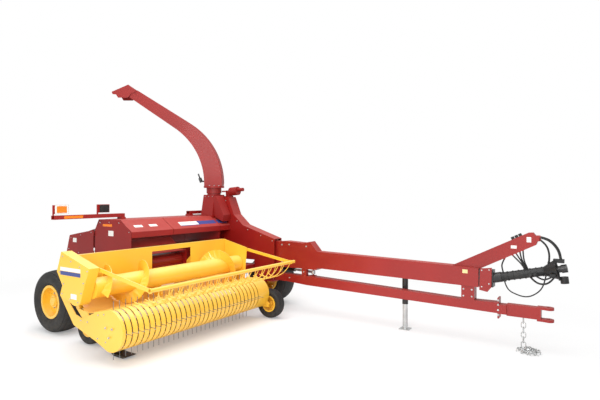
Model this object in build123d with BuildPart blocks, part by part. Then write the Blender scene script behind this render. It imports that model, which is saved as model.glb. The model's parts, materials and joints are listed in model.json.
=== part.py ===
"""Trailed forage harvester with a windrow pickup, parked on its jack.

Axes while modelling: +X is the machine's left, -Y the direction of travel, +Z up,
X = 0 midway between the two main wheels and Z = 0 on the ground. Everything is
moved at the end so that the origin is at the bottom centre of the whole machine.
All sizes are in millimetres, and an outline on a side plane lists (y, z) pairs.
"""

import os
from math import acos, atan2, cos, degrees, hypot, pi, radians, sin, tan

from build123d import *

# ---------------------------------------------------------------- clearances
RUNNING_GAP = 0.06
MOVING_GAP = 6.0
SHEET = 4.0

# ---------------------------------------------------------------- main wheels
MAIN_TYRE_R = 393.5
MAIN_TYRE_W = 330.0
MAIN_RIM_R = 195.0
MAIN_BEAD_W = 250.0
MAIN_HUB_R = 75.0
MAIN_SPINDLE_R = 32.0
RIGHT_WHEEL = (-1422.0, 1354.0)
LEFT_WHEEL = (1455.0, 120.0)

# --------------------------------------------------------------- gauge wheels
GAUGE_TYRE_R = 205.0
GAUGE_TYRE_W = 150.0
GAUGE_RIM_R = 105.0
GAUGE_BEAD_W = 112.0
GAUGE_HUB_R = 34.0
GAUGE_SPINDLE_R = 14.0
GAUGE_LEFT = (625.0, -500.0)
GAUGE_RIGHT = (-1500.0, 533.0)

# --------------------------------------------------------------------- header
HEADER_RIGHT_X = -1850.0
HEADER_LEFT_X = 532.0
HEADER_SHEET = 8.0
DRIVE_BOX_X = (-1940.0, -1821.0)
DRUM_Y = -327.0
DRUM_Z = 360.0
DRUM_R = 213.0
BAND_SHEET = 5.0
FIRST_SLOT_X = -1807.0
SLOT_STEP = 72.3
SLOT_COUNT = 30
SLOT_GAP = 16.0
TINE_TIP_R = 300.0
TINE_WIRE_R = 3.0
TINE_BAR_CIRCLE_R = 150.0
TINE_BAR_R = 13.0
TINE_BAR_COUNT = 4
REEL_SHAFT_R = 30.0
REEL_JOURNAL_R = 20.0
AUGER_Y = 45.0
AUGER_Z = 750.0
AUGER_TUBE_R = 110.0
AUGER_JOURNAL_R = 25.0
FLIGHT_R = 235.0
FLIGHT_SHEET = 6.0
FLIGHT_PITCH = 480.0
FLIGHT_STEP = 20.0
TROUGH_R = 250.0
TROUGH_SHEET = 5.0
LIP_ANGLE = 246.4
RAIL_TOP_Z = 1090.0
RAIL_SIZE = 60.0
OPENING_X = (-820.0, -165.0)
OPENING_Z = (580.0, 1030.0)
HEADER_PIVOT = (480.0, 700.0)
HEADER_PIN_R = 25.0

# ------------------------------------------------------------------ windguard
GUARD_PIVOT = (-78.0, 965.0)
GUARD_PIVOT_R = 9.0
GUARD_PIPE = (-900.0, 830.0)
GUARD_PIPE_R = 21.0
GUARD_PIPE_LEFT_X = 628.0
GUARD_ROD_R = 5.0
GUARD_ROD_COUNT = 16
GUARD_ROD_BEND_R = 285.0
GUARD_ROD_SLANT = 25.0
GUARD_ROD_END = (-525.0, 668.0)

# ------------------------------------------------------------------ base unit
SIDE_X = -950.0
LEFT_SIDE_X = 690.0
ROOF_Z = 1420.0
ROOF_Y = (815.0, 1240.0)
LIP_Y = 545.0
LIP_Z = (1196.0, 1272.0)
LID_HINGE = (792.0, 1404.0)
LID_JOIN_X = -250.0
LID_PIN_R = 5.0
LID_LEFT_X = 698.0
FEED_X = (-850.0, -150.0)
FEED_Y = (392.0, 640.0)
FEED_Z = (470.0, 990.0)
FEED_WALL = 8.0
FEED_ROLL_R = 88.0
FEED_JOURNAL_R = 20.0
FEED_ROLL_LOWER = (540.0, 610.0)
FEED_ROLL_UPPER = (530.0, 850.0)
CUTTER_X = (-880.0, -120.0)
CUTTER_AXIS = (960.0, 830.0)
CUTTER_R = 230.0
COVER_X = (922.0, 1105.0)
BLOWER_X = (700.0, 1060.0)
BLOWER_AXIS = (1211.0, 950.0)
BLOWER_R = 480.0

# ---------------------------------------------------------------------- frame
FRAME_TUBE = 120.0
FRAME_WALL = 8.0
FRAME_Z = (560.0, 680.0)
SPINE_X = (590.0, 680.0)
COLUMN_HALF = 70.0
COLUMN_Y = (-60.0, 60.0)
FORK_PLATE = 16.0
FORK_Z = (446.0, 1062.0)
FORK_R = 80.0
LEG_GAP = 25.0
LEG_W = 70.0

# ---------------------------------------------------------------------- spout
SPOUT_AXIS = (880.0, 861.0)
SPOUT_HEADING = 33.7
SPOUT_W = 220.0
SPOUT_WALL = 4.0
TOWER_FOOT_HALF = (172.0, 125.0)
TOWER_TOP_HALF = 118.0
TOWER_Z = (1430.0, 1744.0)
NECK_R = 108.0
NECK_WALL = 7.0
NECK_Z = (1744.0, 1890.0)
COLLAR_R = 120.0
HOOD_X = (745.0, 915.0)
WORM_TIP = (934.0, 741.0, 1810.0)
COLLAR_Z = (1780.0, 1868.0)
SPOUT_RING_R = 165.0
SPOUT_RING_Z = (1868.0, 1898.0)
SPOUT_BEND_Z = 1940.0
OUTER_EDGE = (-145.0, 1165.0, 58.0, 1020.0)
INNER_EDGE = (140.0, 1075.0, 55.7, 890.0)
FLAP_PIVOT = (1250.0, 3430.0)
FLAP_PIN_R = 8.0

# --------------------------------------------------------------------- tongue
TONGUE_X = 1010.0
BEAM_HALF = 70.0
RAIL_HALF = 60.0
NOSE_HALF = 45.0
TONGUE_WALL = 6.0
TONGUE_PIVOT_Y = -250.0
TONGUE_PIN_R = 30.0
NOSE_FRONT_Y = -400.0
HITCH_PIN_Y = -4000.0
HITCH_PIN_R = 16.5
HITCH_EAR = 27.0
HITCH_EAR_Z = (511.0, 381.0)
HITCH_END_Y = -4055.0
JACK_X = 1128.0
JACK_Y = -2320.0
JACK_TUBE_R = 38.0
JACK_TUBE_WALL = 5.0
JACK_TUBE_Z = (330.0, 812.0)
JACK_LEG_TOP_Z = 480.0
JACK_FOOT = 130.0
PTO_START = (1010.0, -3526.0, 814.0)
PTO_END = (1010.0, -4056.0, 938.0)
PTO_GUARD_R = 49.0
PTO_BELL_R = 112.0
PTO_SHAFT_R = 20.0
PTO_YOKE_R = 44.0
PTO_YOKE_REACH = 125.0
PTO_BORE_R = 17.5
PTO_BORE_DEPTH = 45.0

# ------------------------------------------------------------------ cylinders
SWING_BARREL_PIN = (1205.0, -40.0)
SWING_ROD_PIN = (1040.0, -960.0)
SWING_Z = 632.0
SWING_BARREL_R = 33.0
SWING_ROD_R = 18.0
SWING_PIN_R = 12.0

NODES = {}
CUT = Mode.SUBTRACT


def keep(builder, label):
    """Names a finished piece and keeps it for the export."""
    builder.part.label = label
    NODES[label] = builder.part


def side(x):
    """The plane square to X: its own x runs to the rear and its own y up."""
    return Plane.YZ.offset(x)


def prism(plane, points, amount, mode=Mode.ADD, both=False):
    """Extrudes a straight-edged outline off its plane, in the part being made."""
    with BuildSketch(plane) as face:
        with BuildLine():
            Polyline(*points, close=True)
        make_face()
    extrude(face.sketch, amount=amount, both=both, mode=mode)


def plate(points, x, mode=Mode.ADD):
    """A flat plate square to X, from its (y, z) outline and its (low, high) in X."""
    prism(side(x[0]), points, x[1] - x[0], mode)


def block(x, y, z, mode=Mode.ADD):
    """A box from its (low, high) pairs."""
    with Locations(((x[0] + x[1]) / 2, (y[0] + y[1]) / 2, (z[0] + z[1]) / 2)):
        Box(x[1] - x[0], y[1] - y[0], z[1] - z[0], mode=mode)


def box_tube(x, y, z, wall, open_axis):
    """A rectangular tube as a part of its own, open at both ends along one axis."""
    inside = {"x": x, "y": y, "z": z}
    for axis, (low, high) in inside.items():
        grow = 1.0 if axis == open_axis else -wall
        inside[axis] = (low - grow, high + grow)
    with BuildPart() as tube:
        block(x, y, z)
        block(inside["x"], inside["y"], inside["z"], CUT)
    return tube.part


def box_section(points, x, wall):
    """A closed hollow box as a part of its own, from its side outline."""
    with BuildPart() as section:
        plate(points, x)
        with BuildSketch(side(x[0] + wall)) as inside:
            with BuildLine():
                Polyline(*points, close=True)
            make_face()
            offset(amount=-wall, kind=Kind.INTERSECTION)
        extrude(inside.sketch, amount=x[1] - x[0] - 2 * wall, mode=CUT)
    return section.part


def rod(start, end, radius, mode=Mode.ADD):
    """A round bar between two points."""
    a, b = Vector(*start), Vector(*end)
    with BuildSketch(Plane(origin=a, z_dir=b - a)) as face:
        Circle(radius)
    extrude(face.sketch, amount=(b - a).length, mode=mode)


def ring(start, end, radius, bore):
    """A round tube between two points, from its outer and inner radius."""
    a, b = Vector(*start), Vector(*end)
    with BuildSketch(Plane(origin=a, z_dir=b - a)) as face:
        Circle(radius)
        Circle(bore, mode=CUT)
    extrude(face.sketch, amount=(b - a).length)


def across(point, x):
    """The two ends of a bar along X through a (y, z) point."""
    return (x[0], *point), (x[1], *point)


def upright(point, z):
    """The two ends of a bar along Z through an (x, y) point."""
    return (*point, z[0]), (*point, z[1])


def hose(name, points, radius):
    """A hose of straight runs, joined by the largest arcs that they allow."""
    places = [Vector(*point) for point in points]
    runs = [b - a for a, b in zip(places, places[1:])]
    bends = []
    for before, after in zip(runs, runs[1:]):
        shorter = min(before.length, after.length)
        bends.append(0.45 * shorter / tan(radians(before.get_angle(after)) / 2))
    with BuildLine() as route:
        FilletPolyline(*places, radius=bends)
    with BuildSketch(Plane(origin=places[0], z_dir=runs[0])) as section:
        Circle(radius)
    sweep(section.sketch, path=route.wires()[0])
    print(name, "radii", [round(bend) for bend in bends], "length", round(route.wires()[0].length))


# ----------------------------------------------------------------- the wheels
TREAD_HALF = 0.36
SHOULDER = 0.965
BEAD_DEPTH = 0.08


def tyre_body(radius, width, rim_r, bead_w, wall, centre):
    """A hollow tyre, open between its beads, turned about X."""
    with BuildPart() as tyre:
        for inset, mode in ((0, Mode.ADD), (wall, CUT)):
            bead = rim_r + BEAD_DEPTH * radius
            middle = (bead + radius) / 2
            foot = (bead_w / 2 - inset, rim_r - (1 if inset else 0))
            shoulder = (TREAD_HALF * width - inset / 2, SHOULDER * radius - inset)
            with BuildSketch(Plane.XZ) as face:
                with BuildLine():
                    Line((-foot[0], foot[1]), foot)
                    Line(foot, (foot[0], bead))
                    ThreePointArc((foot[0], bead), (width / 2 - inset, middle), shoulder)
                    ThreePointArc(shoulder, (0, radius - inset), (-shoulder[0], shoulder[1]))
                    ThreePointArc(
                        (-shoulder[0], shoulder[1]), (inset - width / 2, middle), (-foot[0], bead)
                    )
                    Line((-foot[0], bead), (-foot[0], foot[1]))
                make_face()
            revolve(face.sketch, axis=Axis.X, mode=mode)
    return tyre.part.moved(Location(centre))


def rim_body(rim_r, bead_w, spindle_r, hub_r, outer_side, sheet, centre):
    """A pressed rim with its disc and hub. outer_side is +1 when the dish faces +X."""
    flange = 0.05 * rim_r + 6
    disc = outer_side * bead_w * DISC_SHARE
    bore = spindle_r + RUNNING_GAP
    with BuildPart() as rim:
        with BuildSketch(Plane.XZ):
            for end in (-1, 1):
                with Locations((end * (bead_w / 2 + sheet / 2), rim_r - sheet + flange / 2)):
                    Rectangle(sheet, 2 * sheet + flange)
            with Locations((0, rim_r - sheet)):
                Rectangle(bead_w + sheet, 2 * sheet - 0.1)
            with Locations((disc, (hub_r + rim_r - sheet) / 2 - 2)):
                Rectangle(sheet * 1.4, rim_r - sheet - hub_r + 6)
            with Locations((disc, (hub_r + bore) / 2)):
                Rectangle(bead_w * HUB_SHARE, hub_r - bore)
        revolve(axis=Axis.X)
        with Locations(Location((disc, 0, 0), (0, 90, 0))):
            with PolarLocations(hub_r + (rim_r - hub_r) * 0.6, 6):
                Cylinder(0.05 * rim_r, sheet * 4, mode=CUT)
    return rim.part.moved(Location(centre))


# where the disc and the hub stand, as shares of the width between the beads
DISC_SHARE = 0.14
HUB_SHARE = 0.42

# name: main wheel centre, gauge wheel centre, side that the discs face
WHEEL_SIDES = {"right": (RIGHT_WHEEL, GAUGE_RIGHT, -1), "left": (LEFT_WHEEL, GAUGE_LEFT, 1)}
# name: tyre radius, width, rim radius, bead width, wall, spindle, hub, rim sheet
WHEEL_SIZES = {
    "main": (MAIN_TYRE_R, MAIN_TYRE_W, MAIN_RIM_R, MAIN_BEAD_W, 16.0, MAIN_SPINDLE_R, MAIN_HUB_R, 7.0),
    "gauge": (
        GAUGE_TYRE_R, GAUGE_TYRE_W, GAUGE_RIM_R, GAUGE_BEAD_W, 10.0, GAUGE_SPINDLE_R, GAUGE_HUB_R, 4.0,
    ),
}
for name, (main, gauge, outer_side) in WHEEL_SIDES.items():
    for kind, place in (("main", main), ("gauge", gauge)):
        radius, width, rim_r, bead_w, wall, spindle_r, hub_r, sheet = WHEEL_SIZES[kind]
        centre = (*place, radius)
        with BuildPart() as tyre:
            add(tyre_body(radius, width, rim_r, bead_w, wall, centre))
        keep(tyre, f"{kind}_tyre_{name}")
        with BuildPart() as rim:
            add(rim_body(rim_r, bead_w, spindle_r, hub_r, outer_side, sheet, centre))
        keep(rim, f"{kind}_rim_{name}")


def spindle(kind, wheel, outer_side, start_x, cap_r):
    """A wheel's spindle with the nut that holds the hub on it."""
    radius, _, _, bead_w, _, spindle_r, _, _ = WHEEL_SIZES[kind]
    x, y = wheel
    nut_x = x + outer_side * (bead_w * (DISC_SHARE + HUB_SHARE / 2) + 2.0)
    rod((start_x, y, radius), (nut_x, y, radius), spindle_r)
    rod((nut_x, y, radius), (nut_x + outer_side * 14.0, y, radius), cap_r)


# ------------------------------------------------------------------ the frame
rear_y = (RIGHT_WHEEL[1] - FRAME_TUBE / 2, RIGHT_WHEEL[1] + FRAME_TUBE / 2)
front_y = (LEFT_WHEEL[1] - FRAME_TUBE / 2, LEFT_WHEEL[1] + FRAME_TUBE / 2)
right_leg = RIGHT_WHEEL[0] + MAIN_TYRE_W / 2 + LEG_GAP
left_leg = LEFT_WHEEL[0] - MAIN_TYRE_W / 2 - LEG_GAP
LEG_X = {"right": (right_leg, right_leg + LEG_W), "left": (left_leg - LEG_W, left_leg)}
column_x = (TONGUE_X - COLUMN_HALF, TONGUE_X + COLUMN_HALF)
HITCH_REAR = (-420.0, 1960.0)
HITCH_REAR_Z = (570.0, 586.0)
HITCH_REAR_R = 14.0

with BuildPart() as main_frame:
    add(box_tube((LEG_X["right"][1], SPINE_X[1]), rear_y, FRAME_Z, FRAME_WALL, "x"))
    add(box_tube(SPINE_X, (front_y[0], rear_y[0]), FRAME_Z, FRAME_WALL, "y"))
    add(box_tube((SPINE_X[1], LEG_X["left"][0]), front_y, FRAME_Z, FRAME_WALL, "x"))
    block(column_x, COLUMN_Y, (FORK_Z[0], FORK_Z[1] + FORK_PLATE))
    pivot = (TONGUE_X, TONGUE_PIVOT_Y)
    for z in FORK_Z:
        block((TONGUE_X - FORK_R, TONGUE_X + FORK_R), (TONGUE_PIVOT_Y, COLUMN_Y[0]), (z, z + FORK_PLATE))
        rod(*upright(pivot, (z, z + FORK_PLATE)), FORK_R)
    rod(*upright(pivot, (FORK_Z[0] - 6, FORK_Z[1] + 22)), TONGUE_PIN_R)
    for z in (SWING_Z - 46.0, SWING_Z + 34.0):
        block(
            (TONGUE_X + COLUMN_HALF + 70, SWING_BARREL_PIN[0] + 28),
            (SWING_BARREL_PIN[1] - 28, front_y[0]),
            (z, z + 12),
        )
    rod(*upright(SWING_BARREL_PIN, (SWING_Z - 46.0, SWING_Z + 46.0)), SWING_PIN_R)
    # pads that carry the cutterhead and the blower
    pad_z = (FRAME_Z[0] + 8, FRAME_Z[1] - 8)
    for x in ((CUTTER_X[0] + 120, CUTTER_X[0] + 240), (CUTTER_X[1] - 240, CUTTER_X[1] - 120)):
        block(x, (1280.0, rear_y[0]), pad_z)
    for x in ((BLOWER_X[0] + 20, BLOWER_X[0] + 60), (BLOWER_X[1] - 60, BLOWER_X[1] - 20)):
        block(x, (front_y[1], 300.0), pad_z)
    # wagon hitch at the rear
    block((HITCH_REAR[0] - 40, HITCH_REAR[0] + 40), (rear_y[1], HITCH_REAR[1]), HITCH_REAR_Z)
    rod(*upright(HITCH_REAR, HITCH_REAR_Z), 40.0)
    rod(*upright(HITCH_REAR, (HITCH_REAR_Z[0] - 1, HITCH_REAR_Z[1] + 1)), HITCH_REAR_R, CUT)
keep(main_frame, "main_frame")

for name, (main, _, outer_side) in WHEEL_SIDES.items():
    root_x = LEG_X[name][0] if outer_side < 0 else LEG_X[name][1]
    with BuildPart() as axle:
        leg_y = (main[1] - FRAME_TUBE / 2, main[1] + FRAME_TUBE / 2)
        block(LEG_X[name], leg_y, (MAIN_TYRE_R - 60.0, FRAME_Z[1]))
        spindle("main", main, outer_side, root_x, 46.0)
    keep(axle, f"axle_{name}")

# ------------------------------------------------------- feed house and cutter
with BuildPart() as feed_housing:
    add(box_tube(FEED_X, FEED_Y, FEED_Z, FEED_WALL, "y"))
    for x in ((FEED_X[0] - 26.0, FEED_X[0]), (FEED_X[1], FEED_X[1] + 26.0)):
        rod(*across(HEADER_PIVOT, x), HEADER_PIN_R)
    for centre in (FEED_ROLL_LOWER, FEED_ROLL_UPPER):
        rod(*across(centre, (FEED_X[0] - 1, FEED_X[1] + 1)), FEED_JOURNAL_R + RUNNING_GAP, CUT)
keep(feed_housing, "feed_housing")

drum_x = (FEED_X[0] + FEED_WALL + MOVING_GAP, FEED_X[1] - FEED_WALL - MOVING_GAP)
for name, centre in (("lower", FEED_ROLL_LOWER), ("upper", FEED_ROLL_UPPER)):
    with BuildPart() as feed_roll:
        ring(*across(centre, drum_x), FEED_ROLL_R - 12, FEED_ROLL_R - 20)
        with BuildSketch(side(drum_x[0])) as bars:
            with Locations(centre):
                with PolarLocations(FEED_ROLL_R - 8, 8):
                    Rectangle(16.0, 10.0)
        extrude(bars.sketch, amount=drum_x[1] - drum_x[0])
        for x in (drum_x[0], drum_x[1] - 12.0):
            rod(*across(centre, (x, x + 12.0)), FEED_ROLL_R - 14)
        rod(*across(centre, (FEED_X[0] + 1, FEED_X[1] - 1)), FEED_JOURNAL_R)
    keep(feed_roll, f"feed_roll_{name}")

DUCT_Y = (970.0, 1260.0)
DUCT_Z = (700.0, 990.0)
with BuildPart() as cutterhead_housing:
    plate(
        [(640, 500), (640, 1060), (760, 1150), (1160, 1150), (1280, 1060), (1280, 560), (1120, 500)],
        CUTTER_X,
    )
    plate(
        [(639, 506), (639, 1057), (762, 1144), (1158, 1144), (1274, 1057), (1274, 564), (1118, 506)],
        (CUTTER_X[0] + 6, CUTTER_X[1] - 6),
        CUT,
    )
    duct_inside = (
        (DUCT_Y[0] + SHEET, DUCT_Y[1] - SHEET),
        (DUCT_Z[0] + SHEET, DUCT_Z[1] - SHEET),
    )
    block((CUTTER_X[1] - 7, CUTTER_X[1] + 1), *duct_inside, CUT)
keep(cutterhead_housing, "cutterhead_housing")

with BuildPart() as cutter_drum:
    rod(*across(CUTTER_AXIS, (CUTTER_X[0] + 6, CUTTER_X[1] - 6)), CUTTER_R)
keep(cutter_drum, "cutter_drum")

with BuildPart() as transfer_duct:
    add(box_tube((CUTTER_X[1], BLOWER_X[0]), DUCT_Y, DUCT_Z, SHEET, "x"))
keep(transfer_duct, "transfer_duct")

# --------------------------------------------------------- blower and its tower
tower_x = (SPOUT_AXIS[0] - TOWER_FOOT_HALF[0], SPOUT_AXIS[0] + TOWER_FOOT_HALF[0])
tower_y = (SPOUT_AXIS[1] - TOWER_FOOT_HALF[1], SPOUT_AXIS[1] + TOWER_FOOT_HALF[1])
with BuildPart() as blower_housing:
    rod(*across(BLOWER_AXIS, BLOWER_X), BLOWER_R)
    block(tower_x, tower_y, (BLOWER_AXIS[1], TOWER_Z[0]))
    blower_inside = (BLOWER_X[0] + SHEET, BLOWER_X[1] - SHEET)
    rod(*across(BLOWER_AXIS, blower_inside), BLOWER_R - SHEET, CUT)
    block(
        (tower_x[0] + SHEET, tower_x[1] - SHEET),
        (tower_y[0] + SHEET, tower_y[1] - SHEET),
        (BLOWER_AXIS[1], TOWER_Z[0] + 1),
        CUT,
    )
    block((BLOWER_X[0] - 1, BLOWER_X[0] + SHEET + 1), *duct_inside, CUT)
keep(blower_housing, "blower_housing")

# the sloping box in front of the tower: (y, z)
hood_line = [(745, 1432), (745, 1740), (690, 1740), (530, 1437), (548, 1335), (700, 1400), (730, 1432)]
with BuildPart() as spout_tower:
    for inset, mode in ((0, Mode.ADD), (SHEET, CUT)):
        foot = Plane((*SPOUT_AXIS, TOWER_Z[0]))
        top = Plane((*SPOUT_AXIS, TOWER_Z[1]))
        with BuildSketch(foot) as foot_face:
            Rectangle(2 * (TOWER_FOOT_HALF[0] - inset), 2 * (TOWER_FOOT_HALF[1] - inset))
        with BuildSketch(top) as top_face:
            Rectangle(2 * (TOWER_TOP_HALF - inset), 2 * (TOWER_TOP_HALF - inset))
        if inset == 0:
            add(box_section(hood_line, HOOD_X, SHEET))
        loft([foot_face.sketch.face(), top_face.sketch.face()], mode=mode)
    with BuildSketch(top) as lid_face:
        Rectangle(2 * TOWER_TOP_HALF, 2 * TOWER_TOP_HALF)
        Circle(NECK_R - NECK_WALL, mode=CUT)
    extrude(lid_face.sketch, amount=12)
    ring(*upright(SPOUT_AXIS, NECK_Z), NECK_R, NECK_R - NECK_WALL)
keep(spout_tower, "spout_tower")

# the hydraulic motor and worm that turn the spout, on a bracket above the cover
with BuildPart() as spout_drive:
    block((960.0, 1060.0), (600.0, 710.0), (1720.0, 1736.0))
    block((975.0, 1050.0), (605.0, 690.0), (1736.0, 1826.0))
    rod(WORM_TIP, (1000.0, 680.0, WORM_TIP[2]), 12.0)
    rod((1012.0, 612.0, 1806.0), (1012.0, 455.0, 1820.0), 68.0)
    rod((1012.0, 460.0, 1836.0), (1012.0, 350.0, 1840.0), 28.0)
keep(spout_drive, "spout_drive")

# ------------------------------------------------------------------ sheet work
SHIELD_HINGE = (SIDE_X - 10.0, 1340.0)
SHIELD_KNUCKLES = ((930.0, 980.0), (1200.0, 1250.0))
with BuildPart() as side_panel_right:
    plate(
        [(540, 800), (540, 1284), (790, 1424), (1210, 1420), (1318, 1290), (1330, 900), (1330, 800)],
        (SIDE_X, SIDE_X + SHEET),
    )
    for low, high in SHIELD_KNUCKLES:
        for z in ((low - 8.0, low - 1.0), (high + 1.0, high + 8.0)):
            rod(*upright(SHIELD_HINGE, z), 9.0)
            block((SIDE_X - 10, SIDE_X + 2), (1316.0, SHIELD_HINGE[1]), z)
        rod(*upright(SHIELD_HINGE, (low - 8.0, high + 8.0)), LID_PIN_R)
keep(side_panel_right, "side_panel_right")

with BuildPart() as side_panel_left:
    plate(
        [(560, 800), (560, 1262), (800, 1406), (1238, 1414), (1318, 1284), (1330, 800)],
        (LEFT_SIDE_X - SHEET, LEFT_SIDE_X),
    )
    block(
        (LEFT_SIDE_X - 10, LEFT_SIDE_X + 10),
        (DUCT_Y[0] - 1, DUCT_Y[1] + 1),
        (DUCT_Z[0] - 1, DUCT_Z[1] + 1),
        CUT,
    )
keep(side_panel_left, "side_panel_left")

roof_x = (SIDE_X + SHEET, LEFT_SIDE_X)
LID_X = {"right": (SIDE_X + SHEET + MOVING_GAP, LID_JOIN_X - 4), "left": (LID_JOIN_X + 4, LID_LEFT_X)}
KNUCKLES = {}
for name, x in LID_X.items():
    far = min(x[1], LEFT_SIDE_X - 10) - 60.0
    KNUCKLES[name] = [(x[0] + 60.0, x[0] + 110.0), (far - 50.0, far)]

with BuildPart() as roof:
    block(roof_x, ROOF_Y, (ROOF_Z - SHEET, ROOF_Z))
    for low, high in KNUCKLES["right"] + KNUCKLES["left"]:
        for ear in ((low - 7.0, low - 1.0), (high + 1.0, high + 7.0)):
            rod(*across(LID_HINGE, ear), 12.0)
            block(ear, (LID_HINGE[0], ROOF_Y[0] + 8), (LID_HINGE[1] - 6, ROOF_Z - 2))
        rod(*across(LID_HINGE, (low - 7.0, high + 7.0)), LID_PIN_R)
keep(roof, "roof")

lid_end_y = LID_HINGE[0] - 18
lid_line = [
    (LIP_Y, LIP_Z[0]), (LIP_Y, LIP_Z[1]), (lid_end_y, ROOF_Z + 2),
    (lid_end_y, ROOF_Z - 3), (LIP_Y + SHEET, LIP_Z[1] - 2.5), (LIP_Y + SHEET, LIP_Z[0]),
]
hinge_line = [
    (LID_HINGE[0] - 60, ROOF_Z - 42), (LID_HINGE[0] - 60, ROOF_Z - 26),
    (LID_HINGE[0] - 10, ROOF_Z - 8), (LID_HINGE[0], LID_HINGE[1]), (LID_HINGE[0] - 10, LID_HINGE[1] - 6),
]
for name, x in LID_X.items():
    with BuildPart() as top_cover:
        plate(lid_line, x)
        for low, high in KNUCKLES[name]:
            rod(*across(LID_HINGE, (low, high)), 12.0)
            plate(hinge_line, (low, high))
            rod(*across(LID_HINGE, (low - 1, high + 1)), LID_PIN_R + RUNNING_GAP, CUT)
    keep(top_cover, f"top_cover_{name}")

with BuildPart() as rear_cover:
    plate(
        [
            (1240, 1420), (1322, 1290), (1463, 1252), (1742, 1208), (1925, 1176), (1998, 947),
            (1994, 947), (1921, 1172), (1741, 1204), (1462, 1248), (1320, 1286), (1240, 1414),
        ],
        roof_x,
    )
    plate(
        [(1330, 900), (1330, 1284), (1463, 1250), (1742, 1206), (1923, 1174), (1996, 947)],
        (LEFT_SIDE_X - SHEET, LEFT_SIDE_X),
    )
keep(rear_cover, "rear_cover")

with BuildPart() as right_shield:
    plate(
        [
            (1352, 1281), (1463, 1252), (1742, 1208), (1929, 1175), (2004, 947), (1990, 900),
            (1352, 900),
        ],
        (SIDE_X - 6, SIDE_X - 2),
    )
    for low, high in SHIELD_KNUCKLES:
        ring(*upright(SHIELD_HINGE, (low, high)), 9.0, LID_PIN_R + RUNNING_GAP)
        block((SIDE_X - 14, SIDE_X - 4), (SHIELD_HINGE[1] + 7.5, 1356.0), (low, high))
keep(right_shield, "right_shield")

with BuildPart() as driveline_cover:
    plate(
        [
            (-341, 500), (-341, 1090), (280, 1278), (470, 1440), (590, 1720), (725, 1720),
            (725, 750), (52, 750), (52, 500),
        ],
        COVER_X,
    )
    plate(
        [
            (-342, 499), (-342, 1085), (282, 1274), (473, 1437), (593, 1716), (721, 1716),
            (721, 749), (48, 749), (48, 499),
        ],
        (COVER_X[0] + SHEET, COVER_X[1] - SHEET),
        CUT,
    )
    block((COVER_X[1] - SHEET - 1, COVER_X[1] + 1), (-342, 60), (499, 750), CUT)
    block((COVER_X[0] - 1, COVER_X[1] + 1), (44, 60), (499, 750), CUT)
    # the fixed sheet between the left lid and the cover, in line with the lid
    plate(
        [
            (LIP_Y, LIP_Z[0]), (LIP_Y, LIP_Z[1]), (726, 1389),
            (726, 1384), (LIP_Y + SHEET, LIP_Z[1] - 2.5), (LIP_Y + SHEET, LIP_Z[0]),
        ],
        (LID_LEFT_X + MOVING_GAP, COVER_X[0]),
    )
keep(driveline_cover, "driveline_cover")

# -------------------------------------------------------------------- lighting
BAR_Y = (1095.0, 1165.0)
BAR_Z = (1446.0, 1496.0)
LAMP_TOP_Z = 1625.0
# name: the bar in X, its foot in X, its lamps in X
LIGHT_BARS = {
    "right": ((-1640.0, -640.0), (-700.0, -640.0), ((-1640.0, -1450.0), (-1045.0, -875.0))),
    "left": ((560.0, 1640.0), (560.0, 620.0), ((1450.0, 1640.0),)),
}
for name, (x, foot, lamps) in LIGHT_BARS.items():
    with BuildPart() as light_bar:
        add(box_tube(x, BAR_Y, BAR_Z, SHEET, "x"))
        block(foot, (BAR_Y[0] - 20, BAR_Y[1] + 20), (ROOF_Z, BAR_Z[0]))
        for low, high in lamps:
            block((low, low + 12), (1120.0, 1140.0), (BAR_Z[1], LAMP_TOP_Z))
            block((low + 12, high), (1105.0, 1155.0), (1516.0, LAMP_TOP_Z))
    keep(light_bar, f"light_bar_{name}")

# ---------------------------------------------------------------------- header
def drum_point(angle, radius):
    """A (y, z) point at an angle about the pickup drum's axis."""
    return (DRUM_Y + radius * cos(angle), DRUM_Z + radius * sin(angle))


def tangent_angle(point, turn):
    """Where a line from a point touches the drum, as an angle about its axis."""
    dy, dz = point[0] - DRUM_Y, point[1] - DRUM_Z
    return atan2(dz, dy) + turn * acos(DRUM_R / hypot(dy, dz))


drum_axis = (DRUM_Y, DRUM_Z)
auger_axis = (AUGER_Y, AUGER_Z)
header_inner_x = (HEADER_RIGHT_X + HEADER_SHEET, HEADER_LEFT_X - HEADER_SHEET)
TOP_TAIL = (-60.0, 520.0)
LOW_TAIL = (-10.0, 290.0)
top_turn = tangent_angle(TOP_TAIL, 1)
low_turn = tangent_angle(LOW_TAIL, -1)
front_turn = (top_turn + low_turn + 2 * pi) / 2


def band(width):
    """One stripper band: round the front of the drum, with a tail at each end."""
    inner_r = DRUM_R - BAND_SHEET
    under_top = (TOP_TAIL[0], TOP_TAIL[1] - BAND_SHEET / cos(top_turn - pi / 2))
    over_low = (LOW_TAIL[0], LOW_TAIL[1] + BAND_SHEET / cos(low_turn + pi / 2))
    with BuildPart() as one:
        with BuildSketch(side(0)):
            with BuildLine():
                outer = [drum_point(turn, DRUM_R) for turn in (top_turn, front_turn, low_turn)]
                inner = [drum_point(turn, inner_r) for turn in (low_turn, front_turn, top_turn)]
                Line(TOP_TAIL, outer[0])
                ThreePointArc(*outer)
                Polyline(outer[2], LOW_TAIL, over_low, inner[0])
                ThreePointArc(*inner)
                Polyline(inner[2], under_top, TOP_TAIL)
            make_face()
        extrude(amount=width)
    return one.part


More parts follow.
